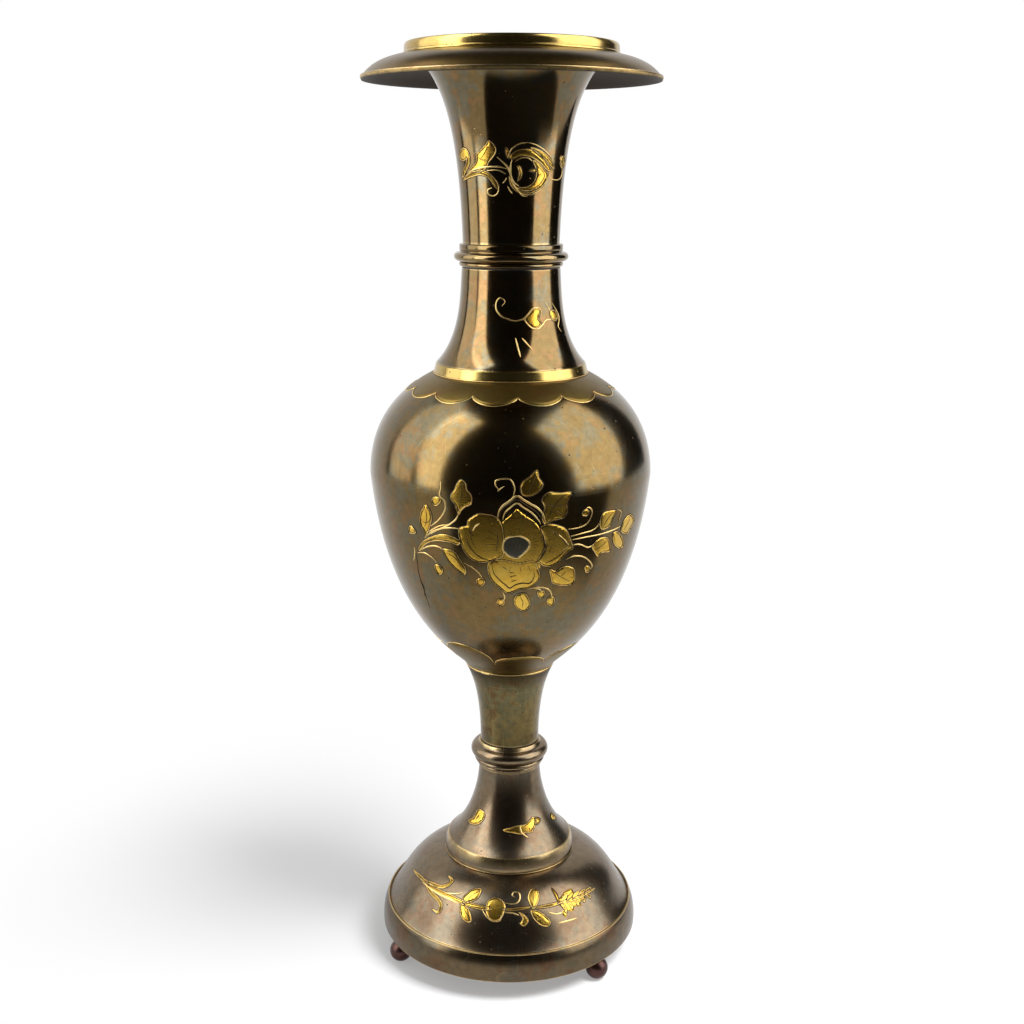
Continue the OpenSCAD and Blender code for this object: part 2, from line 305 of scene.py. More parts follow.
@dataclass(frozen=True)
class Graph:
    """Adds and joins nodes in one tree.

    Attributes:
        tree: The geometry or shader tree that is being built.
    """

    tree: bpy.types.NodeTree

    @classmethod
    def group(cls, name: str, family: str, inputs: dict[str, object]) -> tuple["Graph", dict[str, Value]]:
        """Starts a node group.

        Args:
            name: Name of the group.
            family: Geometry or Shader.
            inputs: For each input, its kind, or a number that sets both its kind and its default.

        Returns:
            The group's builder, and its inputs as values.
        """
        g = cls(bpy.data.node_groups.new(name, family + "NodeTree"))
        for key, given in inputs.items():
            kind = given if isinstance(given, str) else type(given).__name__.capitalize()
            socket = g.tree.interface.new_socket(key, in_out="INPUT", socket_type="NodeSocket" + kind)
            if kind is not given:
                socket.default_value = given
        start = g.tree.nodes.new("NodeGroupInput")
        return g, {key: Value(g, start.outputs[key]) for key in inputs}

    def finish(self, **outputs: tuple[str, Value]) -> bpy.types.NodeTree:
        """Gives the group its outputs, as kind and value, and returns its tree."""
        for key, (kind, _) in outputs.items():
            self.tree.interface.new_socket(key, in_out="OUTPUT", socket_type="NodeSocket" + kind)
        end = self.tree.nodes.new("NodeGroupOutput")
        for key, (_, value) in outputs.items():
            self.put(end.inputs[key], value)
        return self.tree

    def put(self, socket: bpy.types.NodeSocket, value: object) -> None:
        """Sets an input to a number, or links a value to it."""
        if isinstance(value, Value):
            self.tree.links.new(value.socket, socket)
        else:
            socket.default_value = value

    @staticmethod
    def port(sockets: object, key: str | int) -> bpy.types.NodeSocket:
        """Returns a socket by its number, or the first live one of a name."""
        return sockets[key] if isinstance(key, int) else next(s for s in sockets if s.name == key and s.enabled)

    def add(self, kind: str, inputs: dict | None = None, **settings: object) -> bpy.types.Node:
        """Adds a node.

        Args:
            kind: Blender's name for the kind of node, without its family.
            inputs: Numbers or values, by input name or number.
            settings: Properties of the node.

        Returns:
            The node.
        """
        shape = self.tree.bl_idname == "GeometryNodeTree" and hasattr(bpy.types, "GeometryNode" + kind)
        node = self.tree.nodes.new(("GeometryNode" if shape else "ShaderNode") + kind)
        for key, value in settings.items():
            setattr(node, key, value)
        for key, value in (inputs or {}).items():
            self.put(self.port(node.inputs, key), value)
        return node

    def of(self, node: bpy.types.Node, key: str | int = 0) -> Value:
        """Returns one output of a node as a value."""
        return Value(self, self.port(node.outputs, key))

    def get(self, kind: str, inputs: dict | None = None, output: str | int = 0, **settings: object) -> Value:
        """Adds a node and returns one of its outputs."""
        return self.of(self.add(kind, inputs, **settings), output)

    def math(self, operation: str, *values: object, clamp: bool = False) -> Value:
        """Adds a number calculation and returns its result."""
        return self.get("Math", dict(enumerate(values)), operation=operation, use_clamp=clamp)

    def split(self, vector: Value) -> tuple[Value, ...]:
        """Returns the three numbers of a vector."""
        node = self.add("SeparateXYZ", {0: vector})
        return tuple(self.of(node, k) for k in range(3))

    def join(self, *numbers: object) -> Value:
        """Returns a vector made of numbers."""
        return self.get("CombineXYZ", dict(enumerate(numbers)))

    def circled(self, radius: Value, angle: Value, height: Value) -> Value:
        """Returns the place at a radius, an angle from +X and a height."""
        return self.join(radius * self.math("COSINE", angle), radius * self.math("SINE", angle), height)

    def mark(self, name: str) -> Value:
        """Reads a number stored at the points."""
        return self.get("InputNamedAttribute", {"Name": name}, "Attribute", data_type="FLOAT")

    def tube(self, curve: Value, radius: Value, profile: Value) -> Value:
        """Runs a profile along a curve, at a size that may change on the way, and caps its ends."""
        sized = self.get("SetCurveRadius", {"Curve": curve, "Radius": radius})
        node = self.add("CurveToMesh", {"Curve": sized, "Profile Curve": profile, "Fill Caps": True})
        if "Scale" in node.inputs:
            self.put(node.inputs["Scale"], self.get("InputRadius"))
        return self.of(node)

    def noise(self, at: Value, scale: object, detail: float = 2.0, rough: float = 0.5) -> Value:
        """Adds a noise and returns its value."""
        return self.get("TexNoise", {"Vector": at, "Scale": scale, "Detail": detail, "Roughness": rough})

    def band(self, value: Value, low: float, high: float, floor: float = 0.0) -> Value:
        """Turns a value into a soft mask between two levels, which rises from a floor to 1."""
        return self.get("MapRange", {"Value": value, "From Min": low, "From Max": high, "To Min": floor},
                        interpolation_type="SMOOTHSTEP")

    def mix(self, mask: Value, base: object, top: object) -> Value:
        """Lays one colour over another by a mask."""
        return self.get("Mix", {0: mask, 6: base, 7: top}, 2, data_type="RGBA")

    def from_axis(self) -> Value:
        """Returns the distance from the object's origin."""
        return self.get("VectorMath", {0: self.get("TexCoord", output="Object")}, "Value", operation="LENGTH")


class Trees:
    """The geometry trees of the vase, each built once."""

    PLACE = {"Surface": "Object", "Start": 0.0, "Bearing": 0.0, "Radius": 0.1, "Lift": 0.0, "Height": 1.0}

    def __init__(self) -> None:
        """Builds every tree."""
        self.lathe = self._lathe()
        self.wrap = self._wrap()
        self.strokes = self._laid("chased lines", True)
        self.leaves = self._laid("chased leaves", False)
        self.thread = self._thread()

    @staticmethod
    def _done(g: Graph, work: Value, material: Value) -> bpy.types.NodeTree:
        """Closes a tree with its realized geometry in its material."""
        real = g.get("RealizeInstances", {"Geometry": work})
        return g.finish(Geometry=("Geometry", g.get("SetMaterial", {"Geometry": real, "Material": material})))

    def _lathe(self) -> bpy.types.NodeTree:
        """Builds the tree that turns a closed outline round the axis."""
        g, i = Graph.group("turned shell", "Geometry", {"Outline": "Geometry", "Segments": 64, "Material": "Material"})
        count = g.get("AttributeDomainSize", {"Geometry": i["Outline"]}, "Point Count", component="MESH")
        columns = i["Segments"] + 1
        mesh = g.get("MeshGrid", {"Size X": 1.0, "Size Y": 1.0, "Vertices X": count, "Vertices Y": columns})
        index = g.get("InputIndex")
        row = g.math("FLOOR", (index + 0.5) / columns)
        angle = (index - row * columns) / i["Segments"] * math.tau

        def at_row(kind: str, value: Value) -> Value:
            """Reads a value at the outline point of this row."""
            return g.get("SampleIndex", {"Geometry": i["Outline"], "Value": value, "Index": row}, "Value",
                         data_type=kind, domain="POINT")

        radius, _, height = g.split(at_row("FLOAT_VECTOR", g.get("InputPosition")))
        mesh = g.get("SetPosition", {"Geometry": mesh, "Position": g.circled(radius, angle, height)})
        for name in ("worn", "inner", "arc"):
            kept = {"Geometry": mesh, "Name": name, "Value": at_row("FLOAT", g.mark(name))}
            mesh = g.get("StoreNamedAttribute", kept, data_type="FLOAT", domain="POINT")
        mesh = g.get("FlipFaces", {"Mesh": g.get("MergeByDistance", {"Geometry": mesh, "Distance": 2e-6})})
        return self._done(g, g.get("SetShadeSmooth", {"Geometry": mesh, "Shade Smooth": True}), i["Material"])

    def _wrap(self) -> bpy.types.NodeTree:
        """Builds the tree that lays flat work on a turned surface."""
        g, i = Graph.group("lay on turned surface", "Geometry", {"Geometry": "Geometry"} | self.PLACE)
        across, up, thick = g.split(g.get("InputPosition"))
        side = g.get("ObjectInfo", {"Object": i["Surface"]}, "Geometry", transform_space="ORIGINAL")
        at = g.add("SampleCurve", {"Curves": g.get("MeshToCurve", {"Mesh": side}), "Length": up + i["Start"]},
                   mode="LENGTH")
        radius, _, height = g.split(g.of(at, "Position"))
        slope, _, rise = g.split(g.get("VectorMath", {0: g.of(at, "Tangent")}, operation="NORMALIZE"))
        out = thick * i["Height"] + i["Lift"]
        angle = across / i["Radius"] + i["Bearing"] - math.pi / 2
        place = g.circled(radius + out * rise, angle, height - out * slope)
        return g.finish(Geometry=("Geometry", g.get("SetPosition", {"Geometry": i["Geometry"], "Position": place})))

    def _laid(self, name: str, lines: bool) -> bpy.types.NodeTree:
        """Builds a tree that lays its own flat work on a turned surface.

        Args:
            name: Name of the tree.
            lines: True where the work is lines that are given a round section.

        Returns:
            The tree.
        """
        g, i = Graph.group(name, "Geometry", {"Geometry": "Geometry"} | self.PLACE | {"Material": "Material"})
        work = i["Geometry"]
        if lines:
            ring = g.get("CurvePrimitiveCircle", {"Resolution": 8, "Radius": 1.0}, mode="RADIUS")
            work = g.tube(g.get("MeshToCurve", {"Mesh": work}), g.mark("half_width"), ring)
        laid = g.get("Group", {"Geometry": work} | {key: i[key] for key in self.PLACE}, node_tree=self.wrap)
        return self._done(g, g.get("SetShadeSmooth", {"Geometry": laid, "Shade Smooth": True}), i["Material"])

    def _thread(self) -> bpy.types.NodeTree:
        """Builds the tree that winds the section of a screw thread round the axis and lets it run out."""
        g, i = Graph.group("screw thread", "Geometry", {"Section": "Geometry", "Radius": 0.02, "Pitch": 0.003,
                                                        "Turns": 4.0, "Base": 0.0, "Material": "Material"})
        line = g.get("MeshLine", {"Count": THREAD_STEPS + 1, "Offset": (0, 0, 1.0)}, mode="OFFSET")
        share = g.get("InputIndex") / float(THREAD_STEPS)
        run_out = g.math("MINIMUM", g.math("MINIMUM", share, g.math("SUBTRACT", 1.0, share)) * 14.0, 1.0)
        turned = share * i["Turns"]
        place = g.circled(i["Radius"], turned * math.tau, i["Base"] + turned * i["Pitch"])
        helix = g.get("MeshToCurve", {"Mesh": g.get("SetPosition", {"Geometry": line, "Position": place})})
        upright = g.get("SetCurveNormal", {"Curve": helix}, mode="Z_UP")
        return self._done(g, g.tube(upright, run_out, g.get("MeshToCurve", {"Mesh": i["Section"]})), i["Material"])


# ---- Finishes ----

def rgba(color: Rgb) -> tuple[float, float, float, float]:
    """Returns a colour with full cover."""
    return (*color, 1.0)


def painted(name: str, color: Rgb) -> tuple[bpy.types.Material, Graph, bpy.types.Node]:
    """Makes a material, and returns it with its builder and its surface shader."""
    mat = bpy.data.materials.new(name)
    mat.use_nodes = True
    mat.diffuse_color = rgba(color)
    g = Graph(mat.node_tree)
    return mat, g, next(n for n in g.tree.nodes if n.type == "BSDF_PRINCIPLED")


class Effects:
    """Surface effects that several finishes share, each a shader group built once."""

    SCRATCHES = (((0.3, 0.9, 0.4), (26, 26, 1500), 0.0), ((1.2, 0.2, 1.1), (30, 1700, 30), 3.1),
                 ((0.7, 1.9, 2.3), (1400, 24, 24), 7.7))

    def __init__(self) -> None:
        """Builds every group."""
        self.bloom = self._bloom()
        self.hairlines = self._hairlines()
        self.pits = self._pits()
        self.turning = self._turning()

    @staticmethod
    def _bloom() -> bpy.types.NodeTree:
        """Builds the cloudy colour of an old lacquer or patina."""
        g, i = Graph.group("patina bloom", "Shader", {"Vector": "Vector", "Metal": "Color", "Cool": "Color",
                                                      "Warm": "Color", "Amount": 0.4, "Size": 26.0})
        at, amount, size = i["Vector"], i["Amount"], i["Size"]
        shifted = g.get("VectorMath", {0: at, 1: (0.37, 0.11, 0.53)}, operation="ADD")
        big, other = g.noise(at, size, 4.0, 0.6), g.noise(shifted, size * 1.7, 4.0, 0.62)
        spread = (g.noise(shifted, size * 5.0, 3.0, 0.65) - 0.5) * 0.8
        tone = g.mix(g.band(big - spread, 0.46, 0.66) * amount, i["Metal"], i["Cool"])
        tone = g.mix(g.band(other + spread, 0.52, 0.68) * amount, tone, i["Warm"])
        depth = (g.noise(at, size * 9.0, 3.0, 0.6) - 0.5) * amount + 1.0
        shade = g.get("VectorMath", {0: tone, "Scale": depth}, operation="SCALE")
        return g.finish(Color=("Color", shade), Cloud=("Float", big))

    @staticmethod
    def _hairlines() -> bpy.types.NodeTree:
        """Builds fine scratches that run in three directions."""
        g, i = Graph.group("hairline scratches", "Shader", {"Vector": "Vector", "Fineness": 1.0, "Wear": 0.5})
        lines = []
        for turn, stretch, start in Effects.SCRATCHES:
            place = g.get("Mapping", {"Vector": i["Vector"], "Location": (start, start, start), "Rotation": turn,
                                      "Scale": stretch})
            lines.append(g.band(g.noise(place, i["Fineness"], 1.0, 0.4), 0.70, 0.76))
        total = g.math("MAXIMUM", g.math("MAXIMUM", lines[0], lines[1]), lines[2])
        patch = g.band(g.noise(i["Vector"], 34.0), 0.36, 0.62)
        return g.finish(Mask=("Float", total * patch * i["Wear"]))

    @staticmethod
    def _pits() -> bpy.types.NodeTree:
        """Builds scattered small pits and specks of dirt."""
        g, i = Graph.group("pits", "Shader", {"Vector": "Vector", "Number": 260.0, "Share": 0.2})
        cells = g.add("TexVoronoi", {"Vector": i["Vector"], "Scale": i["Number"]}, feature="F1")
        pick = g.add("SeparateColor", {0: g.of(cells, "Color")})
        chosen = g.math("LESS_THAN", g.of(pick), i["Share"])
        size = g.of(pick, 1) * 0.16 + 0.06
        near = g.math("SUBTRACT", 1.0, g.of(cells, "Distance") / size, clamp=True)
        return g.finish(Mask=("Float", near * chosen))

    @staticmethod
    def _turning() -> bpy.types.NodeTree:
        """Builds the fine rings that a lathe tool leaves along an outline."""
        g, i = Graph.group("turning marks", "Shader", {"Along": 0.0, "Rings": 900.0})
        line = g.get("TexNoise", {"W": i["Along"], "Scale": i["Rings"], "Detail": 3.0}, noise_dimensions="1D")
        return g.finish(Height=("Float", line))


@dataclass(frozen=True)
class MetalFinish:
    """A metal surface with its tarnish, scratches, pits and polished edges.

    Attributes:
        name: Name of the finish.
        metal: Colour of the bare reflection.
        cool, warm: Colours of the two tarnish clouds.
        bloom: Strength of the clouds.
        gloss: Roughness of the clean surface.
        haze: Roughness that the clouds add.
        worn: Colour where edges are rubbed bright.
        wear: How far edges are rubbed.
        scratches: Strength of the hairlines.
        pits: Share of the pits that show.
        rings: Height of the turning marks, in millimetres.
        wobble: Height of the spinner's unevenness, in millimetres.
        inside: Colour of the uncleaned inside; where an outline marks part of its outside as inner, it is painted
            shade.
        punch: Depth of the dots of a matting punch, in millimetres; where it is set, the dots' middles also get painted
            shade.
    """

    name: str
    metal: Rgb
    cool: Rgb
    warm: Rgb
    bloom: float = 0.5
    gloss: float = 0.16
    haze: float = 0.1
    worn: Rgb = (0.62, 0.46, 0.22)
    wear: float = 0.5
    scratches: float = 0.5
    pits: float = 0.12
    rings: float = 0.004
    wobble: float = 0.05
    inside: Rgb = (0.12, 0.085, 0.045)
    punch: float = 0.0

    def build(self, fx: Effects) -> bpy.types.Material:
        """Builds the material.

        Args:
            fx: The shared surface effects.

        Returns:
            The material.
        """
        mat, g, shader = painted(self.name, self.metal)
        shader.inputs["Metallic"].default_value = 1.0
        at = g.get("TexCoord", output="Object")
        bloom = g.add("Group", {"Vector": at, "Metal": rgba(self.metal), "Cool": rgba(self.cool),
                                "Warm": rgba(self.warm), "Amount": self.bloom}, node_tree=fx.bloom)
        scratch = g.get("Group", {"Vector": at, "Wear": self.scratches}, node_tree=fx.hairlines)
        pit = g.get("Group", {"Vector": at, "Share": self.pits}, node_tree=fx.pits)
        arc, rubbed, inside = (g.get("Attribute", output="Fac", attribute_name=key) for key in ("arc", "worn", "inner"))
        rings = g.get("Group", {"Along": arc}, node_tree=fx.turning)
        dots = g.get("TexVoronoi", {"Vector": at, "Scale": 820.0, "Randomness": 0.7}, feature="F1")
        dent = g.math("SUBTRACT", 1.0, dots / 0.42, clamp=True)
        bright = rubbed * (g.band(g.noise(at, 90.0, 3.0, 0.6), 0.35, 0.6) * 0.6 + 0.4) * self.wear
        coats = [(bright, self.worn), (scratch * 0.35, self.worn), (pit * 0.8, SOOT)]
        # Punched dots get painted shade in their middles.
        if self.punch:
            coats.append((dent * 0.4, PUNCH_DENT_SHADE))
        color = g.of(bloom, "Color")
        # The inner mark lays the inside colour, which on the upper stem's top is painted shade under the bowl.
        for mask, top in coats + [(inside, self.inside)]:
            color = g.mix(mask, color, rgba(top))
        g.put(shader.inputs["Base Color"], color)
        rough = g.of(bloom, "Cloud") * self.haze + (self.gloss - self.haze * 0.5) + scratch * 0.16 + pit * 0.3
        g.put(shader.inputs["Roughness"], g.math("ADD", rough, inside * 0.3, clamp=True))
        height = (g.noise(at, 30.0, 1.0, 0.4) * self.wobble + rings * self.rings - scratch * 0.006 - pit * 0.12
                  - dent * self.punch) * MM
        g.put(shader.inputs["Normal"], g.get("Bump", {"Strength": 1.0, "Distance": 1.0, "Height": height}))
        return mat


@dataclass(frozen=True)
class RubberFinish:
    """Black sealing rubber, dusty and slightly grained."""

    name: str
    color: Rgb = (0.022, 0.02, 0.018)
    dust: Rgb = (0.10, 0.09, 0.075)

    def build(self, fx: Effects) -> bpy.types.Material:
        """Builds the material and returns it."""
        mat, g, shader = painted(self.name, self.color)
        at = g.get("TexCoord", output="Object")
        dust = g.band(g.noise(at, 140.0, 4.0, 0.65), 0.45, 0.75)
        grain = g.noise(at, 2600.0) * (0.02 * MM)
        g.put(shader.inputs["Base Color"], g.mix(dust, rgba(self.color), rgba(self.dust)))
        g.put(shader.inputs["Roughness"], dust * 0.25 + 0.5)
        g.put(shader.inputs["Normal"], g.get("Bump", {"Strength": 0.5, "Distance": 1.0, "Height": grain}))
        return mat


FINISHES = {
    "patina_brass": MetalFinish("dark patina brass", (0.155, 0.105, 0.043), (0.120, 0.118, 0.088),
        (0.200, 0.112, 0.050), bloom=0.65, gloss=0.14, haze=0.16, scratches=0.2, pits=0.2),
    "bowl_brass": MetalFinish("smoked patina brass", (0.142, 0.095, 0.036), (0.112, 0.104, 0.070),
        (0.168, 0.096, 0.040), bloom=0.65, gloss=0.175, haze=0.14, scratches=0.25, pits=0.25, wobble=0.07),
    "foot_brass": MetalFinish("brown patina brass", (0.175, 0.128, 0.080), (0.140, 0.120, 0.086),
        (0.150, 0.096, 0.058), bloom=0.75, gloss=0.26, haze=0.14, worn=(0.55, 0.40, 0.18), wear=0.8, scratches=0.15,
        pits=0.25),
    # The stem's very dark inside colour is also painted shade under the bowl on the upper stem's top.
    "stem_brass": MetalFinish("stained olive brass", (0.160, 0.118, 0.046), (0.110, 0.096, 0.050),
        (0.105, 0.066, 0.028), bloom=0.95, gloss=0.25, haze=0.16, scratches=0.5, pits=0.5,
        inside=(0.035, 0.024, 0.010)),
    "band_brass": MetalFinish("stained brown brass", (0.120, 0.086, 0.048), (0.095, 0.080, 0.056),
        (0.110, 0.062, 0.036), bloom=0.8, gloss=0.26, worn=(0.60, 0.42, 0.18), wear=0.9, scratches=0.25, pits=0.3,
        rings=0.02),
    # Its darker, greyer inside colour is what darkens the underside of the mouth flange.
    "brown_brass": MetalFinish("brown satin brass", (0.150, 0.094, 0.026), (0.125, 0.086, 0.030),
        (0.150, 0.074, 0.026), bloom=0.45, gloss=0.30, worn=(0.60, 0.42, 0.16), wear=1.0, scratches=0.15,
        rings=0.008, inside=(0.062, 0.050, 0.040)),
    "gold_brass": MetalFinish("polished gold brass", (0.40, 0.27, 0.08), (0.32, 0.23, 0.08), (0.36, 0.19, 0.06),
        bloom=0.4, gloss=0.20, worn=(0.5, 0.38, 0.12), scratches=0.2, pits=0.3, rings=0.006),
    "chased_leaf": MetalFinish("chased leaf brass", (0.68, 0.42, 0.060), (0.60, 0.41, 0.08), (0.62, 0.33, 0.045),
        bloom=0.6, gloss=0.27, scratches=0.1, pits=0.3, rings=0.0, wobble=0.06, punch=0.022),
    "chased_line": MetalFinish("bright chased line", (0.86, 0.62, 0.24), (0.72, 0.55, 0.24), (0.80, 0.50, 0.18),
        bloom=0.5, gloss=0.34, scratches=0.0, pits=0.0, rings=0.0, wobble=0.0),
    "rubbed_edge": MetalFinish("rubbed bright edge", (0.44, 0.31, 0.14), (0.34, 0.26, 0.14), (0.36, 0.21, 0.09),
        bloom=0.8, gloss=0.30, scratches=0.0, pits=0.2, rings=0.0, wobble=0.0),
    # Dark colour of the cut lines: painted shade of chased grooves.
    "chased_cut": MetalFinish("dark chased cut", (0.07, 0.045, 0.022), (0.05, 0.045, 0.03), (0.08, 0.04, 0.02),
        bloom=0.4, gloss=0.45, scratches=0.0, pits=0.0, rings=0.0, wobble=0.0),
    "dark_eye": MetalFinish("dark inlaid eye", (0.095, 0.092, 0.068), (0.075, 0.085, 0.075), (0.12, 0.085, 0.05),
        bloom=0.5, gloss=0.38, scratches=0.1, pits=0.2, rings=0.0, wobble=0.0),
    "scallop_band": MetalFinish("matt scallop band", (0.150, 0.100, 0.022), (0.13, 0.095, 0.03),
        (0.15, 0.078, 0.022), bloom=0.5, gloss=0.38, scratches=0.2, pits=0.4, rings=0.0, wobble=0.0),
    "inner_brass": MetalFinish("bare turned brass", (0.40, 0.28, 0.11), (0.30, 0.24, 0.12), (0.34, 0.19, 0.08),
        bloom=0.6, gloss=0.34, scratches=0.3, pits=0.2, rings=0.03),
    "ball_bronze": MetalFinish("red brown ball bronze", (0.080, 0.042, 0.036), (0.07, 0.045, 0.042),
        (0.09, 0.04, 0.033), bloom=0.5, gloss=0.36, worn=(0.3, 0.18, 0.10), wear=0.8, scratches=0.2),
    "steel": MetalFinish("zinc plated steel", (0.52, 0.52, 0.50), (0.44, 0.46, 0.47), (0.5, 0.46, 0.38), bloom=0.4,
        gloss=0.34, worn=(0.7, 0.7, 0.68), pits=0.3, rings=0.01),
    "seal": RubberFinish("black sealing rubber"),
}


# ---- Workshop ----

@dataclass
class Workshop:
    """Makes pieces and hands them to the frame.

    Attributes:
        trees: The geometry trees.
        paint: The built materials, by slot or finish.
        made: Number of triangles of each piece.
    """

    trees: Trees
    paint: dict[str, bpy.types.Material]
    made: dict[str, int] = field(default_factory=dict)

    @staticmethod
    def host(name: str, verts: list, edges: list, faces: list, marks: dict[str, list[float]]) -> bpy.types.Object:
        """Makes an object from points, edges and faces.

        Args:
            name: Name of the object and its mesh.
            verts, edges, faces: The mesh, in metres.
            marks: Values stored at the points, by name.

        Returns:
            The object, in the scene.
        """
        mesh = bpy.data.meshes.new(name)
        mesh.from_pydata(verts, edges, faces)
        for key, values in marks.items():
            mesh.attributes.new(key, "FLOAT", "POINT").data.foreach_set("value", values)
        obj = bpy.data.objects.new(name, mesh)
        bpy.context.scene.collection.objects.link(obj)
        return obj

    def profile(self, name: str, line: Line, **marks: list[float]) -> bpy.types.Object:
        """Makes an object from an open line of radii and heights in millimetres, with marks at its points."""
        return self.host(name, [(r * MM, 0, z * MM) for r, z in line], chain(len(line)), [], marks)

    @staticmethod
    def run(obj: bpy.types.Object, tree: bpy.types.NodeTree, values: dict[str, object]) -> None:
        """Runs a geometry tree on an object and keeps the result, outside out, as its plain mesh.

        Args:
            obj: The host object.
            tree: The geometry tree.
            values: The tree's inputs, by name.
        """
        modifier = obj.modifiers.new(tree.name, "NODES")
        modifier.node_group = tree
        for socket in tree.interface.items_tree:
            if socket.item_type == "SOCKET" and socket.in_out == "INPUT" and socket.name in values:
                modifier[socket.identifier] = values[socket.name]
        obj.update_tag()
        graph = bpy.context.evaluated_depsgraph_get()
        graph.update()
        mesh = bpy.data.meshes.new_from_object(obj.evaluated_get(graph), preserve_all_data_layers=True, depsgraph=graph)
        obj.modifiers.clear()
        old, obj.data = obj.data, mesh
        bpy.data.meshes.remove(old)
        mesh.name = obj.name
        mesh.materials.clear()
        mesh.materials.append(values["Material"])
        mesh.polygons.foreach_set("material_index", [0] * len(mesh.polygons))
        work = bmesh.new()
        work.from_mesh(mesh)
        if work.calc_volume(signed=True) < 0:
            bmesh.ops.reverse_faces(work, faces=work.faces)
            work.to_mesh(mesh)
        work.free()

    def turned(self, name: str, outline: Outline, finish: str, segments: int = SEGMENTS) -> bpy.types.Object:
        """Turns a closed outline into a shell.

        Args:
            name: Name of the piece.
            outline: Its closed outline, in millimetres.
            finish: Name of the material.
            segments: Number of steps round the axis.

        Returns:
            The piece.
        """
        arc = [s * MM for s in lengths(outline.points)]
        obj = self.profile(name, outline.points, arc=arc, worn=outline.worn, inner=outline.inner)
        self.run(obj, self.trees.lathe, {"Segments": segments, "Material": self.paint[finish]})
        return obj

    def place(self, obj: bpy.types.Object, body: str, slot: str, *nodes: str) -> None:
        """Hands a finished piece to the frame and reports it.

        Args:
            obj: The piece.
            body: The body that it rides on.
            slot: The record's material slot; not used.
            nodes: CAD nodes that it stands for.
        """
        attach(obj, body)
        if nodes:
            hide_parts(*nodes)
        obj.data.calc_loop_triangles()
        self.made[obj.name] = len(obj.data.loop_triangles)
        log.info("%s rides on %s, %d triangles", obj.name, body, self.made[obj.name])

    def keep(self, node: str, finish: str) -> None:
        """Gives a CAD node that stays in view its finish."""
        slots = frame["nodes"][node].material_slots
        for slot in slots:
            slot.material = self.paint[finish]
        if not slots:
            frame["nodes"][node].data.materials.append(self.paint[finish])
        log.info("%s keeps its solid, finish %s", node, finish)


# ---- Chasing ----

def chain(count: int) -> list[tuple[int, int]]:
    """Returns the edges that join points in a row."""
    return [(k, k + 1) for k in range(count - 1)]


def sides(ring: Line) -> list[tuple[Point, Point]]:
    """Returns the two ends of each side of a closed line."""
    return list(zip(ring, ring[1:] + ring[:1]))


def turning(ring: Line) -> float:
    """Returns twice the area that a closed line runs round, above 0 where it turns left."""
    return sum(a[0] * b[1] - b[0] * a[1] for a, b in sides(ring))


def lengths(line: Line) -> list[float]:
    """Returns the distance along a line to each of its points."""
    out = [0.0]
    for a, b in zip(line, line[1:]):
        out.append(out[-1] + math.dist(a, b))
    return out


def drawn(text: str) -> list[tuple[float, Line]]:
    """Reads the strokes of a drawing.

    Args:
        text: Strokes parted by semicolons. A line's half width in millimetres stands before a colon, and then
            each point as its step from the one before, in tenths of a millimetre.

    Returns:
        The half width and the points of each stroke, in millimetres.
    """
    out = []
    for stroke in filter(None, text.split(";")):
        width, _, steps = stroke.rpartition(":")
        u, v, points = 0, 0, []
        for step in steps.split():
            across, up = step.split(",")
            u, v = u + int(across), v + int(up)
            points.append((u / 10, v / 10))
        out.append((float(width or 0), points))
    return out


def flowing(points: Line, closed: bool, steps: int = 4) -> Line:
    """Runs a smooth curve through points.

    Args:
        points: The points to pass through.
        closed: True where the curve returns to its start.
        steps: Straight steps between two points.

    Returns:
        The points of the curve.
    """
    n, out = len(points), []
    if n < 3:
        a, b = points[0], points[-1]
        return [tuple(a[k] + (b[k] - a[k]) * i / steps for k in (0, 1)) for i in range(steps + 1)]
    for i in range(n if closed else n - 1):
        p = [points[(i + k) % n] if closed else points[min(max(i + k, 0), n - 1)] for k in (-1, 0, 1, 2)]
        for j in range(steps):
            t = j / steps
            out.append(tuple(0.5 * (2 * p[1][k] + (p[2][k] - p[0][k]) * t
                                    + (2 * p[0][k] - 5 * p[1][k] + 4 * p[2][k] - p[3][k]) * t * t
                                    + (3 * p[1][k] - p[0][k] - 3 * p[2][k] + p[3][k]) * t ** 3) for k in (0, 1)))
    if not closed:
        out.append(points[-1])
    return out


def edge_distance(p: Point, ring: Line) -> float:
    """Returns the distance from a point to a closed line."""
    best = 1e9
    for a, b in sides(ring):
        du, dv = b[0] - a[0], b[1] - a[1]
        size = du * du + dv * dv or 1e-12
        t = max(0.0, min(1.0, ((p[0] - a[0]) * du + (p[1] - a[1]) * dv) / size))
        best = min(best, math.hypot(p[0] - a[0] - t * du, p[1] - a[1] - t * dv))
    return best


def beside(ring: Line, depth: float) -> Line:
    """Returns a closed line moved inwards by a depth, or outwards where the depth is below 0.

    Args:
        ring: The closed line.
        depth: How far it moves; points that come closer than that to the line are dropped.

    Returns:
        The moved line.
    """
    turn = 1 if turning(ring) > 0 else -1
    out = []
    for a, p, b in zip(ring[-1:] + ring[:-1], ring, ring[1:] + ring[:1]):
        du, dv = b[0] - a[0], b[1] - a[1]
        size = math.hypot(du, dv) or 1.0
        q = (p[0] - turn * depth * dv / size, p[1] + turn * depth * du / size)
        if edge_distance(q, ring) > 0.8 * abs(depth):
            out.append(q)
    return out if len(out) > 5 else ring


def inside(p: Point, ring: Line) -> bool:
    """Tells whether a point lies inside a closed line."""
    return sum((a[1] > p[1]) != (b[1] > p[1]) and p[0] < (b[0] - a[0]) * (p[1] - a[1]) / (b[1] - a[1]) + a[0]
               for a, b in sides(ring)) % 2 == 1


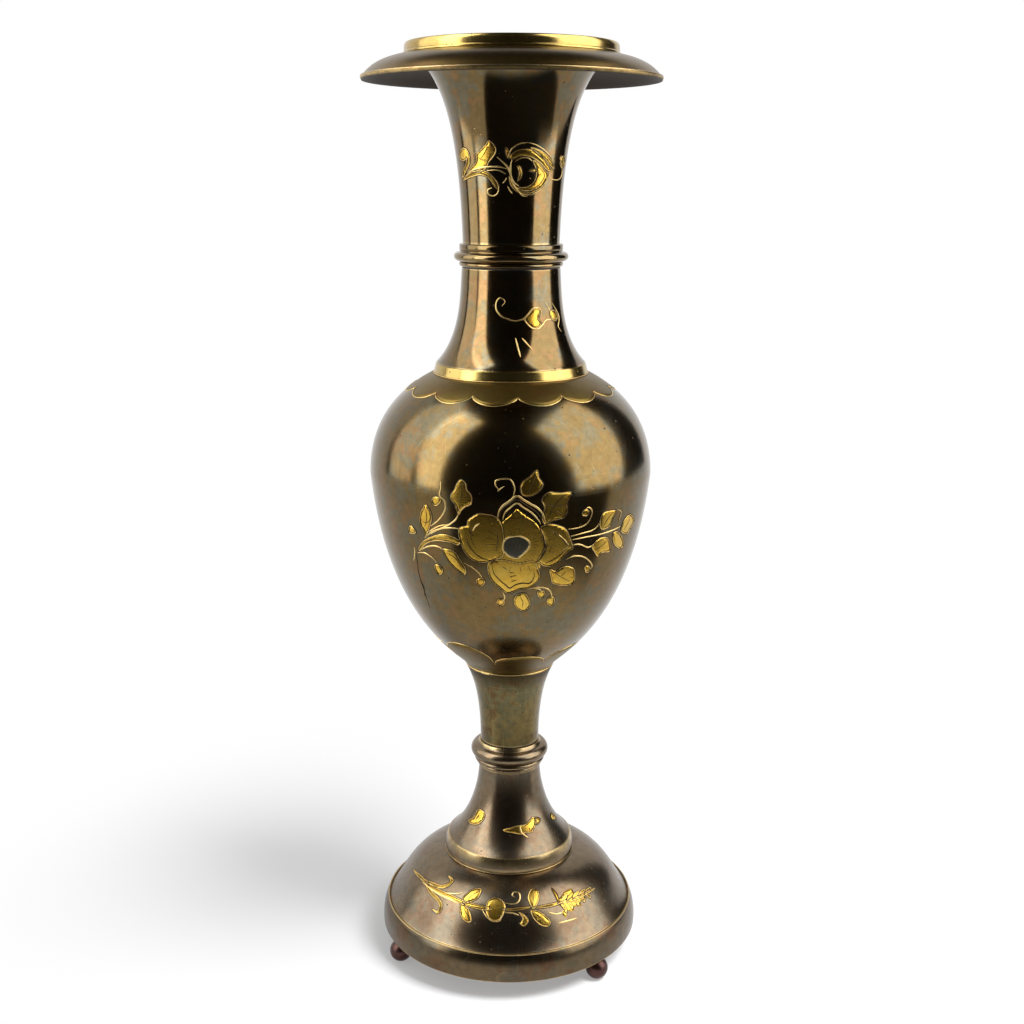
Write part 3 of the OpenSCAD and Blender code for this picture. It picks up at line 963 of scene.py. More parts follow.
@dataclass(frozen=True)
class Motif:
    """A chased ornament drawn flat, in millimetres round and up the surface; drawn() reads its strokes.

    Attributes:
        name: Name of the ornament.
        bearing: Degrees from the front, to the right.
        start: Distance up the outline to the drawing's origin.
        radius: Radius at which widths are true.
        leaves: Closed shapes.
        lines: Bright lines.
        cuts: Dark cut lines inside the leaves, whose colour is painted shade of chased grooves.
        eyes: Dark inlaid shapes.
        plain: Closed shapes without an edge line.
    """

    name: str
    bearing: float
    start: float
    radius: float
    leaves: str = ""
    lines: str = ""
    cuts: str = ""
    eyes: str = ""
    plain: str = ""


class Chaser:
    """Lays the ornaments on the turned surfaces."""

    RING_HALF, EYE_RING_HALF = 0.19, 0.55
    # Half width and inward depth of two dark lines along each leaf's edge, one inside and one outside: painted shade
    # round the raised leaf.
    CONTOURS = ((0.13, 0.75), (0.20, -0.42))
    LEAF_CROWN, LEAF_GRID = 0.12, 1.5
    EYE_CROWN, EYE_GRID = 0.02, 1.2
    EDGE_HEIGHT, CROWN_REACH = 0.04, 1.1
    BAND_ROWS, BAND_HEIGHT = 7, 0.05

    def __init__(self, shop: Workshop) -> None:
        """Keeps the workshop that makes the pieces."""
        self.shop = shop

    def lay(self, relief: Relief, motif: Motif, guide: bpy.types.Object, body: str, verts: list, parts: list,
            half: list[float] | None = None) -> None:
        """Lays one kind of mark of a motif and hands it over.

        Args:
            relief: Kind of mark.
            motif: The ornament.
            guide: Guide line of the surface.
            body: Body that carries it.
            verts: Points of the flat work, in metres.
            parts: Faces of slabs, or edges of lines.
            half: Half width at each point of lines.
        """
        ending, finish, slot, lift, height = relief.value
        if half is None:
            tree, obj = self.shop.trees.leaves, self.shop.host(motif.name + ending, verts, [], parts, {})
        else:
            tree = self.shop.trees.strokes
            obj = self.shop.host(motif.name + ending, verts, parts, [], {"half_width": half})
        self.shop.run(obj, tree, {"Surface": guide, "Start": motif.start * MM, "Bearing": math.radians(motif.bearing),
                                  "Radius": motif.radius * MM, "Lift": lift * MM, "Height": height,
                                  "Material": self.shop.paint[finish]})
        self.shop.place(obj, body, slot)

    def lay_line(self, relief: Relief, motif: Motif, guide: bpy.types.Object, body: str, line: Line,
                 half: float) -> None:
        """Lays one even line, given with its half width in millimetres."""
        self.lay(relief, motif, guide, body, [(u * MM, v * MM, 0.0) for u, v in line], chain(len(line)),
                 [half * MM] * len(line))

    @staticmethod
    def round_line(radius: float, up: float) -> Line:
        """Returns a line right round the axis, at a distance up the surface."""
        return [(math.tau * radius * k / HOOP_STEPS, up) for k in range(HOOP_STEPS + 1)]

    def chase(self, motif: Motif, line: Line, body: str) -> bpy.types.Object:
        """Lays every mark of a motif.

        Args:
            motif: The ornament.
            line: Outline of the surface, from its foot.
            body: Body that carries it.

        Returns:
            The surface's guide line.
        """
        guide = self.shop.profile(motif.name + " guide", line)
        leaves, eyes = ([ring for _, ring in drawn(text)] for text in (motif.leaves, motif.eyes))
        plain = [ring for _, ring in drawn(motif.plain)]
        lines = [(self.RING_HALF, ring, True) for ring in leaves] + [(self.EYE_RING_HALF, ring, True) for ring in eyes]
        lines += [(half, points, False) for half, points in drawn(motif.lines)]
        self.lay(Relief.LEAF, motif, guide, body, *self.slabs(leaves + plain, self.LEAF_CROWN, self.LEAF_GRID))
        self.lay(Relief.LINE, motif, guide, body, *self.wires(lines))
        if motif.cuts:
            cuts = [(half, points, False) for half, points in drawn(motif.cuts)]
            # Each leaf also gets two dark lines along its edge, painted shade round the raised leaf.
            cuts += [(half, beside(flowing(ring, True, 2), depth), True) for ring in leaves
                     for half, depth in self.CONTOURS]
            self.lay(Relief.CUT, motif, guide, body, *self.wires(cuts))
        if eyes:
            self.lay(Relief.EYE, motif, guide, body, *self.slabs(eyes, self.EYE_CROWN, self.EYE_GRID))
        return guide

    def hoop(self, name: str, body: str, radius: float, height: float, half: float) -> None:
        """Lays a bright raised line right round a turned edge.

        Args:
            name: Name of the line.
            body: Body that carries it.
            radius, height: Where it runs, in millimetres.
            half: Half its width, in millimetres.
        """
        guide = self.shop.profile(name + " guide", [(radius, height - 2), (radius, height + 2)])
        self.lay_line(Relief.HOOP, Motif(name, 180.0, 0.0, radius), guide, body, self.round_line(radius, 2.0), half)

    @staticmethod
    def slabs(rings: list[Line], crown: float, grid: float) -> tuple[list, list]:
        """Builds thin crowned slabs from closed shapes.

        Args:
            rings: The shapes' outlines, as drawn.
            crown: Height of the crown over the edge.
            grid: Spacing of the points inside.

        Returns:
            The vertices in metres and the faces.
        """
        verts: list = []
        faces: list = []
        for points in rings:
            ring = flowing(points, True, 4)
            if turning(ring) < 0:
                ring.reverse()
            low, high = ([end(p[k] for p in ring) for k in (0, 1)] for end in (min, max))
            pts = list(ring)
            for row in range(int((high[1] - low[1]) / grid) + 1):
                for col in range(int((high[0] - low[0]) / grid) + 1):
                    p = (low[0] + (col + 0.5 * (row % 2)) * grid, low[1] + row * grid)
                    if inside(p, ring) and edge_distance(p, ring) > 0.45 * grid:
                        pts.append(p)
            out, _, tris, *_rest = delaunay_2d_cdt([Vector(p) for p in pts], [], [list(range(len(ring)))], 1, 1e-4)
            first, n = len(verts), len(out)
            tops = [Chaser.EDGE_HEIGHT + crown * (1 - math.exp(-edge_distance((v.x, v.y), ring) / Chaser.CROWN_REACH))
                    for v in out]
            verts += [(v.x * MM, v.y * MM, w * MM) for heights in (tops, [SLAB_FOOT] * n) for v, w in zip(out, heights)]
            rim: dict = {}
            for tri in tris:
                faces.append([first + k for k in tri])
                faces.append([first + n + k for k in reversed(tri)])
                rim.update(((a, b), True) for a, b in zip(tri, tri[1:] + tri[:1]))
            faces += [[first + b, first + a, first + n + a, first + n + b] for a, b in rim if (b, a) not in rim]
        return verts, faces

    @staticmethod
    def wires(lines: list[tuple[float, Line, bool]]) -> tuple[list, list, list]:
        """Builds the wires of chased lines.

        Args:
            lines: Half width, points and whether each line is closed.

        Returns:
            The vertices in metres, the edges and the half width at each vertex.
        """
        verts: list = []
        edges: list = []
        half: list = []
        for width, pts, closed in lines:
            path = flowing(pts, closed, 4 if len(pts) < 20 else 2)
            first, n = len(verts), len(path)
            for k, p in enumerate(path):
                verts.append((p[0] * MM, p[1] * MM, 0.0))
                end = 1.0 if closed else min(1.0, 0.35 + 0.65 * min(k, n - 1 - k) / max(1.0, 0.22 * n))
                half.append(width * MM * end)
            edges += [(first + a, first + b) for a, b in chain(n)]
            if closed:
                edges.append((first + n - 1, first))
        return verts, edges, half

    @staticmethod
    def scallops(petals: int, radius: float, root: float, cusp: float, tips: list[float], full: float,
                 steps: int = 28) -> tuple[list, list, list]:
        """Builds a whole scalloped ring, flat, which closes when it is laid round the axis.

        Args:
            petals: Number of petals.
            radius: Radius at which widths are true.
            root, cusp: Distances along the surface of the ring's plain edge and of the cusps.
            tips: Distances of the petals' tips, which take turns.
            full: Exponent of the petals' arches; a small one makes flat tops.
            steps: Steps across a petal.

        Returns:
            Vertices, faces, and the scalloped edge as a line.
        """
        rows, count = Chaser.BAND_ROWS, petals * steps
        edge = [(math.tau * radius * c / count, cusp + (tips[c // steps % len(tips)] - cusp)
                 * math.sin(math.pi * (c % steps) / steps) ** full) for c in range(count)]
        verts = [(across * MM, (root + (reach - root) * r / rows) * MM, out * MM)
                 for out in (Chaser.BAND_HEIGHT, SLAB_FOOT) for across, reach in edge for r in range(rows + 1)]
        n, faces = count * (rows + 1), []
        for c in range(count):
            a, b = c * (rows + 1), (c + 1) % count * (rows + 1)
            for r in range(rows):
                quad = [a + r, b + r, b + r + 1, a + r + 1]
                faces += [quad, [n + k for k in reversed(quad)]]
            faces += [[a, n + a, n + b, b], [a + rows, b + rows, n + b + rows, n + a + rows]]
        return verts, faces, edge + [(math.tau * radius, cusp)]


# ---- Drawings of the ornaments ----

FLOWER = Motif(
    "bowl_flower", 2.3, 124.1, 88.0,
    leaves=(
        "-95,172 -34,31 -41,9 -47,1 -37,-22 -31,-28 -8,-34 -45,-17 -10,-47 14,-66 16,-46 30,-39 50,-24 64,4 58,23 "
        "37,21 7,75 -6,100;147,121 23,19 43,3 51,-17 40,-24 24,-43 26,-57 11,-36 -32,-16 -30,-38 -30,-32 -52,-23 "
        "-47,11 -35,37 29,54 16,47 -16,61;-161,-106 -15,-43 5,-50 24,-50 45,-43 46,-38 41,8 47,22 54,6 52,34 23,43 "
        "-18,66 -35,51 -81,-11 -106,22;37,336 -12,43 12,36 41,29 42,40 10,-48 23,-37 -18,-36 -47,-31;146,302 24,35 "
        "24,11 60,-10 68,0 -12,-36 -11,-31 3,-51 -17,-38 -37,-9 -42,-10 -36,-17 -20,53 16,51;223,-164 43,-19 39,24 "
        "49,1 42,-27 18,-54 2,-45 -44,-16 -62,9 -54,21 -20,47;26,-338 41,6 31,-48 12,-57 -41,-39 -53,27 -23,57 "
        "13,39;-112,-377 35,-7 0,-32 -30,-17 -20,23;242,-375 38,-5 9,-49 -19,-21 -37,36;157,-321 42,-4 11,-32 "
        "-26,-21 -25,26;-325,417 31,-22 7,-36 25,-29 6,-37 -13,-26 -31,-15 -26,-28 -14,-27 -10,44 -11,25 -24,30 7,31 "
        "18,26 11,31;-512,274 29,23 33,-9 -8,-26 -29,-23 -20,10;-559,235 26,-35 10,-38 -11,-41 -21,-50 -30,-45 "
        "-11,32 -19,30 -3,40 15,48 19,30;-713,70 34,-13 12,-25 -39,-14 -24,15;-662,-70 54,58 69,39 69,27 62,-2 "
        "64,-27 -16,-29 -39,9 -69,5 -75,-14 -62,-35 -53,-51;-468,-45 49,0 40,-16 17,-33 23,-39 16,-41 -11,-38 -33,18 "
        "-32,25 -31,32 -24,39 -10,26;-550,-170 39,-1 17,-33 -31,-34 -26,25;-254,-241 35,18 18,-29 -23,-31 "
        "-27,5;408,207 27,10 17,-22 -12,-18 -29,4;548,147 28,29 98,-5 -19,-50 -26,-48 -59,-9 -23,37;508,-41 34,35 "
        "48,12 48,-17 37,-62 1,-36 -70,8 -30,-23 -34,35;760,26 17,57 65,26 78,-52 -28,-41 -40,-39 -72,24;681,8 37,13 "
        "75,-58 41,-65 -47,-10 -76,52;480,-177 34,-6 17,-32 -32,-9"),
    lines=(
        "0.4:-258,99 14,27 31,28;0.65:-107,172 7,58 23,38 40,32 40,31 39,-25 41,-27 41,-27 31,-40 21,-60;0.5:-77,178 "
        "11,46 29,32 40,31 34,-25 47,-34 37,-40 25,-40;0.4:215,97 47,-31 42,-38 24,-36 -24,-25 -23,-39;0.45:-83,-322 "
        "13,-39 -21,-40 -22,-16;0.45:79,-302 61,12 71,-13 40,-34 15,-49;0.4:120,-296 42,-10 24,-25;0.5:-331,236 "
        "-22,-60 -35,-36 -35,-24 -65,-35 -56,-35;0.35:-361,259 16,-43;0.5:-545,93 63,49 46,58 16,47 -10,37 -26,23 "
        "6,44 -2,42;0.5:-596,10 62,51 68,30 62,14 72,1;0.4:-574,48 57,36 46,26 49,13;0.55:-658,-90 58,35 67,21 51,-6 "
        "34,-16;0.45:-681,-109 56,11 47,-13 36,-22 24,-39;0.35:-699,-71 -14,-52 -27,-55;0.4:-331,-125 51,-24 43,-39 "
        "24,-42;0.45:324,100 74,4 47,20 24,42 3,39 -24,23 -27,-9;0.45:342,51 75,10 72,9 43,27 19,30;0.45:352,26 91,5 "
        "116,1 105,7 78,11;0.45:362,-9 51,-4 64,-30 45,13;0.4:712,83 11,38 3,33 -34,20;0.45:326,-105 47,15 68,-10 "
        "63,-39 37,-49 -28,-24;0.45:-94,367 -24,23 0,30 34,13 41,0 23,-24 11,-42 -11,-42;0.3:-106,361 23,18 17,12"),
    cuts=(
        "0.4:-303,62 15,-59 35,-52 43,-32 49,-14;0.3:-282,104 11,-26 18,-12;0.25:-148,151 35,-52 5,-66 "
        "-14,-61;0.3:-95,198 12,48 40,32 46,31 40,-25 47,-34 35,-30 26,-40;0.23:-77,172 34,13 47,6 58,-4 "
        "54,-31;0.15:-54,195 23,40;0.15:-31,195 18,51;0.15:-8,195 13,61;0.15:15,195 9,50;0.15:38,194 "
        "4,41;0.15:62,194 -1,30;0.15:85,193 -5,20;0.15:-699,-106 -7,-72 -16,-91 1,-121 -12,-149;0.25:-726,-330 "
        "13,-43 -22,-68;0.14:102,-6 27,-2;0.14:103,-23 36,-8;0.14:100,-39 43,-17;0.14:90,-53 27,-16;0.14:80,-67 "
        "32,-25;0.14:65,-75 17,-20;0.14:50,-85 17,-29;0.14:33,-92 14,-39;0.14:14,-93 3,-28;0.14:-5,-94 "
        "-3,-36;0.14:-23,-88 -7,-24;0.14:-41,-84 -16,-29;0.14:-58,-76 -28,-33;0.14:-70,-63 -24,-19;0.14:-83,-51 "
        "-35,-20;0.14:-89,-35 -25,-10;0.14:-95,-20 -35,-7;0.14:-99,-4 -44,-1;0.14:-94,12 -30,5;0.14:-91,28 "
        "-36,12;0.14:-80,42 -22,12;0.14:-70,56 -26,20;0.14:-58,68 -26,30;0.14:-41,75 -14,23;0.14:-25,82 "
        "-11,33;0.14:-7,83 -2,22;0.14:11,84 3,30;0.14:29,82 11,36;0.14:45,74 13,23;0.14:62,66 23,27;0.14:74,53 "
        "19,15;0.14:87,41 29,15;0.14:97,26 41,12;0.14:101,10 30,3;0.15:-114,40 -36,12 -36,5;0.15:-109,13 -45,2 "
        "-46,-6;0.15:-115,-14 -34,-8 -35,-16;0.15:-108,66 -29,23 -30,15;0.15:170,27 33,14 35,7;0.15:178,-1 41,0 "
        "42,-7;0.15:173,-28 39,-9 41,-18;0.15:-23,-131 -10,-18 -9,-25;0.15:27,-132 4,-18 4,-25;0.15:71,-126 14,-18 "
        "14,-26;0.2:-225,160 -32,-35 -14,-53 9,-53 23,-39;0.17:-200,181 47,-4 34,-32;0.25:92,170 30,-34 "
        "20,-41;0.45:150,62 34,-56 -4,-41 -28,-53 -37,-26;0.35:196,111 46,-30 41,-37 37,-45 24,-23;0.35:317,-34 "
        "-30,-31 -44,-31 -57,-23;0.25:222,2 -15,-53;0.45:-149,-119 11,-64 37,-50 39,-36 27,-22 33,22 46,14 53,-2 "
        "24,42 -3,44;0.3:-42,-210 51,14;0.3:-29,-243 39,11;0.25:-42,-174 38,-7;0.25:-86,-132 38,-28;0.25:-48,-20 "
        "18,61;0.25:-24,-37 23,84;0.25:4,-41 19,81;0.25:28,-28 17,57;0.25:49,-1 14,20;0.25:65,348 24,47 "
        "24,53;0.23:89,395 29,5;0.25:192,184 22,63 40,54 43,27;0.3:165,282 42,-22 49,2 43,9;0.25:203,215 30,11 "
        "32,-16;0.25:245,-181 55,-42 74,-47;0.23:307,-224 31,32;0.25:34,-354 23,-48 -4,-48;0.25:-324,392 8,-60 "
        "-14,-63;0.23:-316,332 24,-29;0.25:-562,202 1,-58 -23,-57;0.25:-602,124 30,-9 32,19;0.25:-601,-21 68,35 "
        "75,18 61,-6;0.3:-443,-69 47,-22 30,-38 22,-48;0.25:582,88 27,42 38,33;0.25:546,-69 48,19 38,27;0.23:798,17 "
        "54,63"),
    eyes=(
        "-78,7 12,40 30,20 47,7 42,-15 31,-34 -11,-40 -35,-40 -31,-21 -49,15 -31,34"),
    plain=(
        "-95,126 18,40 40,39 23,25 17,19 23,-19 41,-33 49,-41 31,-48 22,-68 4,-68 -8,-68 -21,-69 -115,-24 -128,29 "
        "-24,83 8,90 7,67"))

SCROLL = Motif(
    "neck_scroll", -3.6, 45.4, 33.0,
    leaves=(
        "-106,171 28,-24 10,-35 -19,-35 -27,-29 -21,-36 -44,-24 -47,1 -34,12 56,41 13,48 38,35 27,23;-353,98 35,29 "
        "42,-1 22,-30 3,-36 -15,-35 -50,-48 -32,-24 8,36 46,42 16,36 -34,-12 -37,7;-353,-65 81,42 79,20 63,-9 31,-23 "
        "31,-36 12,-36 -19,0 -25,36 -32,30 -48,12 -66,-12;131,133 37,-9 41,-17 48,-32 38,-35 12,-30 -28,14 -44,36 "
        "-45,32 -37,23;10,75 29,32 53,16 55,-8 54,-35 53,-47 38,-38 -43,8 -47,36 -46,29 -43,15 -44,0 -37,-18;151,59 "
        "33,-17 38,-33 39,-37 -16,-40 -32,-36 -45,-24 -43,-9 -48,11 -38,25 40,-3 38,3 32,18 21,27 6,32 -6,36 "
        "-15,27;9,-35 15,-36 31,-33 44,-19 45,3 40,16 -26,-30 -39,-13 -48,11 -38,26 -21,36;-8,132 9,-14 4,-24 -3,-26 "
        "-8,17 -5,24;126,-3 25,6 26,-3 -19,-11;56,24 18,-9 9,-30 -6,-32 -18,-20 7,32 0,29;369,37 3,36 40,13 29,-42 "
        "-37,-31"),
    lines=(
        "0.5:-307,-35 83,36 96,17 81,0 41,-12;0.4:-130,-6 52,6 36,-6 30,-18;0.45:-56,-101 -7,-36 -26,-17 -34,8 -6,27 "
        "28,12;0.5:-63,77 34,-30 29,-35 18,-47 12,-48 31,-42 32,-29 32,0;0.45:6,77 11,38 28,29 33,15 "
        "31,2;0.3:109,161 38,-7 46,-21 44,-29 45,-38 29,-41;0.3:44,50 31,21 41,0 32,-21;0.3:266,-2 1,-39 -25,-42 "
        "-43,-39 -54,-25 -33,-4;0.45:23,59 -8,-47 3,-47 18,-39 31,-21;0.35:-3,-95 15,-27 14,-19;0.3:-7,-47 -11,-18 "
        "-13,-13;0.35:262,-38 51,-18 61,1 34,25 -5,48 -41,47 10,25"),
    cuts=(
        "0.3:-166,66 30,35 22,41;0.25:-186,78 27,-18 33,-1;0.25:-286,-41 76,24 66,-7 38,-29;0.28:29,83 34,18 40,5 "
        "42,-10 48,-32 51,-43;0.28:175,30 34,-30 24,-29 -15,-36 -34,-33 -47,-20 -45,-1;0.2:183,-32 38,12;0.2:30,-95 "
        "37,-25 45,-14 39,9"))

TENDRIL = Motif(
    "neck_tendril", 9.4, 34.1, 34.0,
    leaves=(
        "32,5 34,37 29,23 36,-1 6,-25 -18,-31 19,-32 -25,-24 -33,-4 -31,26;220,40 43,9 29,-34 -21,-30 -39,10"),
    lines=(
        "0.45:-113,86 19,25 -14,18 -20,6 -19,-19 -6,-31 8,-30 27,-30 38,-18 49,-13 50,12 40,36 22,24 36,8 29,-17 "
        "-3,-31;0.4:19,12 18,-31 36,-33 39,-5 39,26 27,23 45,4 63,1;0.4:183,104 23,-32 14,-32;0.4:249,94 28,-33 "
        "30,-41 0,-38 -25,-36 22,-35;0.4:-29,-112 12,-64 10,-59;0.45:8,-112 26,-39 27,-37"),
    cuts=(
        "0.3:114,33 20,-25;0.3:118,-4 20,-20"))

STEM_LEAVES = Motif(
    "stem_leaves", -1.5, 26.6, 26.0,
    leaves=(
        "-217,30 43,-11 9,-32 -19,-42 -33,-24 -45,-12 -21,12 29,30 13,36 0,22;-28,-68 41,15 42,11 45,0 29,14 25,15 "
        "18,9 17,-27 -17,-29 -20,-22 -17,-16 -30,7 -31,-8 -45,12 -34,7;186,-12 36,-24 -25,-19 -20,0;388,-122 -57,31 "
        "27,32"),
    lines=(
        "0.5:74,-44 2,-41 15,-23 19,-21"),
    cuts=(
        "0.35:-211,-8 -13,-38;0.3:129,-62 1,-27;0.25:157,-62 -5,-20"))

GARLAND = Motif(
    "dome_garland", -2.7, 31.2, 68.0,
    leaves=(
        "-867,-37 114,11 121,5 121,-1 104,0 88,-9 86,-8 87,-6 61,8 0,10 -61,8 -86,5 -86,7 -90,8 -104,-2 -119,0 "
        "-120,-6 -115,-23;-725,-23 131,20 93,16 48,36 5,49 -62,17 -2,-7 41,-16 -5,-32 -39,-30 -87,-15 "
        "-126,-31;-643,-28 93,-30 70,-14 38,-23 -1,-37 -35,-2 -1,-5 50,-3 6,55 -46,32 -70,16 -101,18;-299,7 22,42 "
        "33,38 54,10 5,-37 -11,-38 -43,-29 -40,-16;-297,-35 50,-15 28,-28 18,-48 -24,-12 -38,18 -25,40;-119,5 24,31 "
        "42,10 38,-19 22,-33 -5,-40 -18,-40 -36,-21 -39,16 -25,43;-5,-33 66,-5 54,5 67,9 0,5 -68,1 -54,-4 "
        "-66,-5;99,-48 37,-28 16,-34 -27,-29 -24,20 21,25;187,76 31,27 37,-14 1,-45 -29,-51 -33,-29 -15,35 "
        "-7,42;179,-41 45,-13 34,-32 31,-45 -19,-29 -42,15 -32,36 -15,35;188,-31 76,-7 72,-2 61,3 0,7 -60,6 -72,1 "
        "-77,-4;399,-36 26,13 25,12 15,16 -4,4 -19,-8 -26,-12 -21,-21;390,-46 8,-20 5,-19 3,-18 5,0 8,19 -6,24 "
        "-18,17;449,-34 27,11 25,10 15,12 -3,4 -19,-5 -26,-9 -23,-18;440,-43 7,-18 6,-17 3,-16 5,-1 8,18 -6,22 "
        "-18,16;501,-33 28,7 25,7 16,10 -3,5 -19,-2 -26,-6 -24,-16;491,-41 9,-18 6,-15 3,-14 5,-1 9,15 -7,21 "
        "-19,15;556,-34 28,3 25,3 16,8 -2,5 -18,1 -27,-3 -24,-12;546,-43 9,-17 6,-13 4,-12 6,-1 8,14 -7,19 "
        "-21,13;615,-40 26,0 26,0 15,6 -1,5 -16,3 -27,1 -26,-9;603,-47 11,-17 7,-12 5,-9 6,-1 8,11 -9,18 "
        "-22,13;382,-36 86,-10 87,-6 72,0 79,-3 0,5 -78,11 -72,1 -86,7 -88,1;371,72 3,-49 5,-46 6,1 7,47 -15,48"),
    lines=(
        "0.6:-732,-27 119,1 115,-3 101,0 86,-9;0.5:-449,-2 79,19 56,23;0.45:-145,-39 33,-41 42,-28 49,6 "
        "4,36;0.45:-15,20 56,-13 49,6 24,33 -3,36 -38,10 -16,-22 21,-18;0.5:2,-49 52,-4 44,-17;0.6:289,-72 49,-24 "
        "44,1;0.6:337,-155 54,-3 73,-3"),
    cuts=(
        "0.28:-265,1 31,43 34,36;0.28:-274,-56 37,-32 22,-35;0.25:-97,1 -1,-41 25,-36;0.25:217,73 "
        "-18,-76;0.25:202,-64 34,-38 25,-36"),
    plain=(
        "361,-27 45,30 59,27 59,2 5,-33 48,-3 -3,-30 72,-5 -50,-19 4,-24 -53,8 -17,-29 -44,16 -27,-25 -34,11 -26,-32 "
        "-21,26 19,35"))


# ---- Sections of the vase ----

@dataclass
class Section:
    """A part of the vase that screws off in one piece.

    Attributes:
        shop: Makes the pieces.
        chaser: Lays the ornaments.
        wall: Thickness of the spun shells.
        gap: Clearance between fitted parts.
        body: Body that carries its pieces.
    """

    shop: Workshop
    chaser: Chaser
    wall: float = 2.0
    gap: float = 0.05
    body: str = ""

    def turn(self, node: str, name: str, outline: Outline, finish: str, slot: str = "patina_brass") -> None:
        """Turns a closed outline and lets it stand for a node.

        Args:
            node: CAD node.
            name: Name of the piece.
            outline: Its closed outline.
            finish: Name of the material.
            slot: The record's material slot.
        """
        self.shop.place(self.shop.turned(name, outline, finish), self.body, slot, node)

    def spun(self, line: Line, low: float, high: float) -> Outline:
        """Returns the outline of a spun shell that is open at both ends."""
        return Outline().run(line).run(inner_side(line, self.wall, low, high), Side.INNER).closed(0.2)

    def spigot(self, node: str, seat_node: str, crest: float, plug: float) -> None:
        """Builds a spigot with a wound thread as one piece.

        Args:
            node: CAD node of the spigot.
            seat_node: CAD node that it is fixed in.
            crest: Crest radius of the thread.
            plug: Radius inside that node.
        """
        (low, top), seat = span(node), span(seat_node)[0]
        bore, root, end = crest - SPIGOT_WALL, crest - THREAD_DEPTH, low + THREAD_PITCH * THREAD_TURNS
        outline = Outline().run([(bore, low), (root, low), (root, end), (crest, end), (crest, seat), (plug, seat),
                                 (plug, top)]).run([(bore, top)], Side.INNER)
        piece = self.shop.turned(node + "_screw", outline.closed(0.2, 40), "inner_brass", SPIGOT_SEGMENTS)
        count = len(THREAD_SECTION)
        ridge = self.shop.host(node + "_ridge", [(a * MM, b * MM, 0) for a, b in THREAD_SECTION],
                               [(k, (k + 1) % count) for k in range(count)], [], {})
        self.shop.run(ridge, self.shop.trees.thread, {
            "Radius": root * MM, "Pitch": THREAD_PITCH * MM, "Turns": THREAD_TURNS - 0.9, "Base": (low + 1.35) * MM,
            "Material": self.shop.paint["inner_brass"]})
        work = bmesh.new()
        work.from_mesh(piece.data)
        work.from_mesh(ridge.data)
        work.to_mesh(piece.data)
        work.free()
        bpy.data.objects.remove(ridge)
        self.shop.place(piece, self.body, "inner_brass", node)


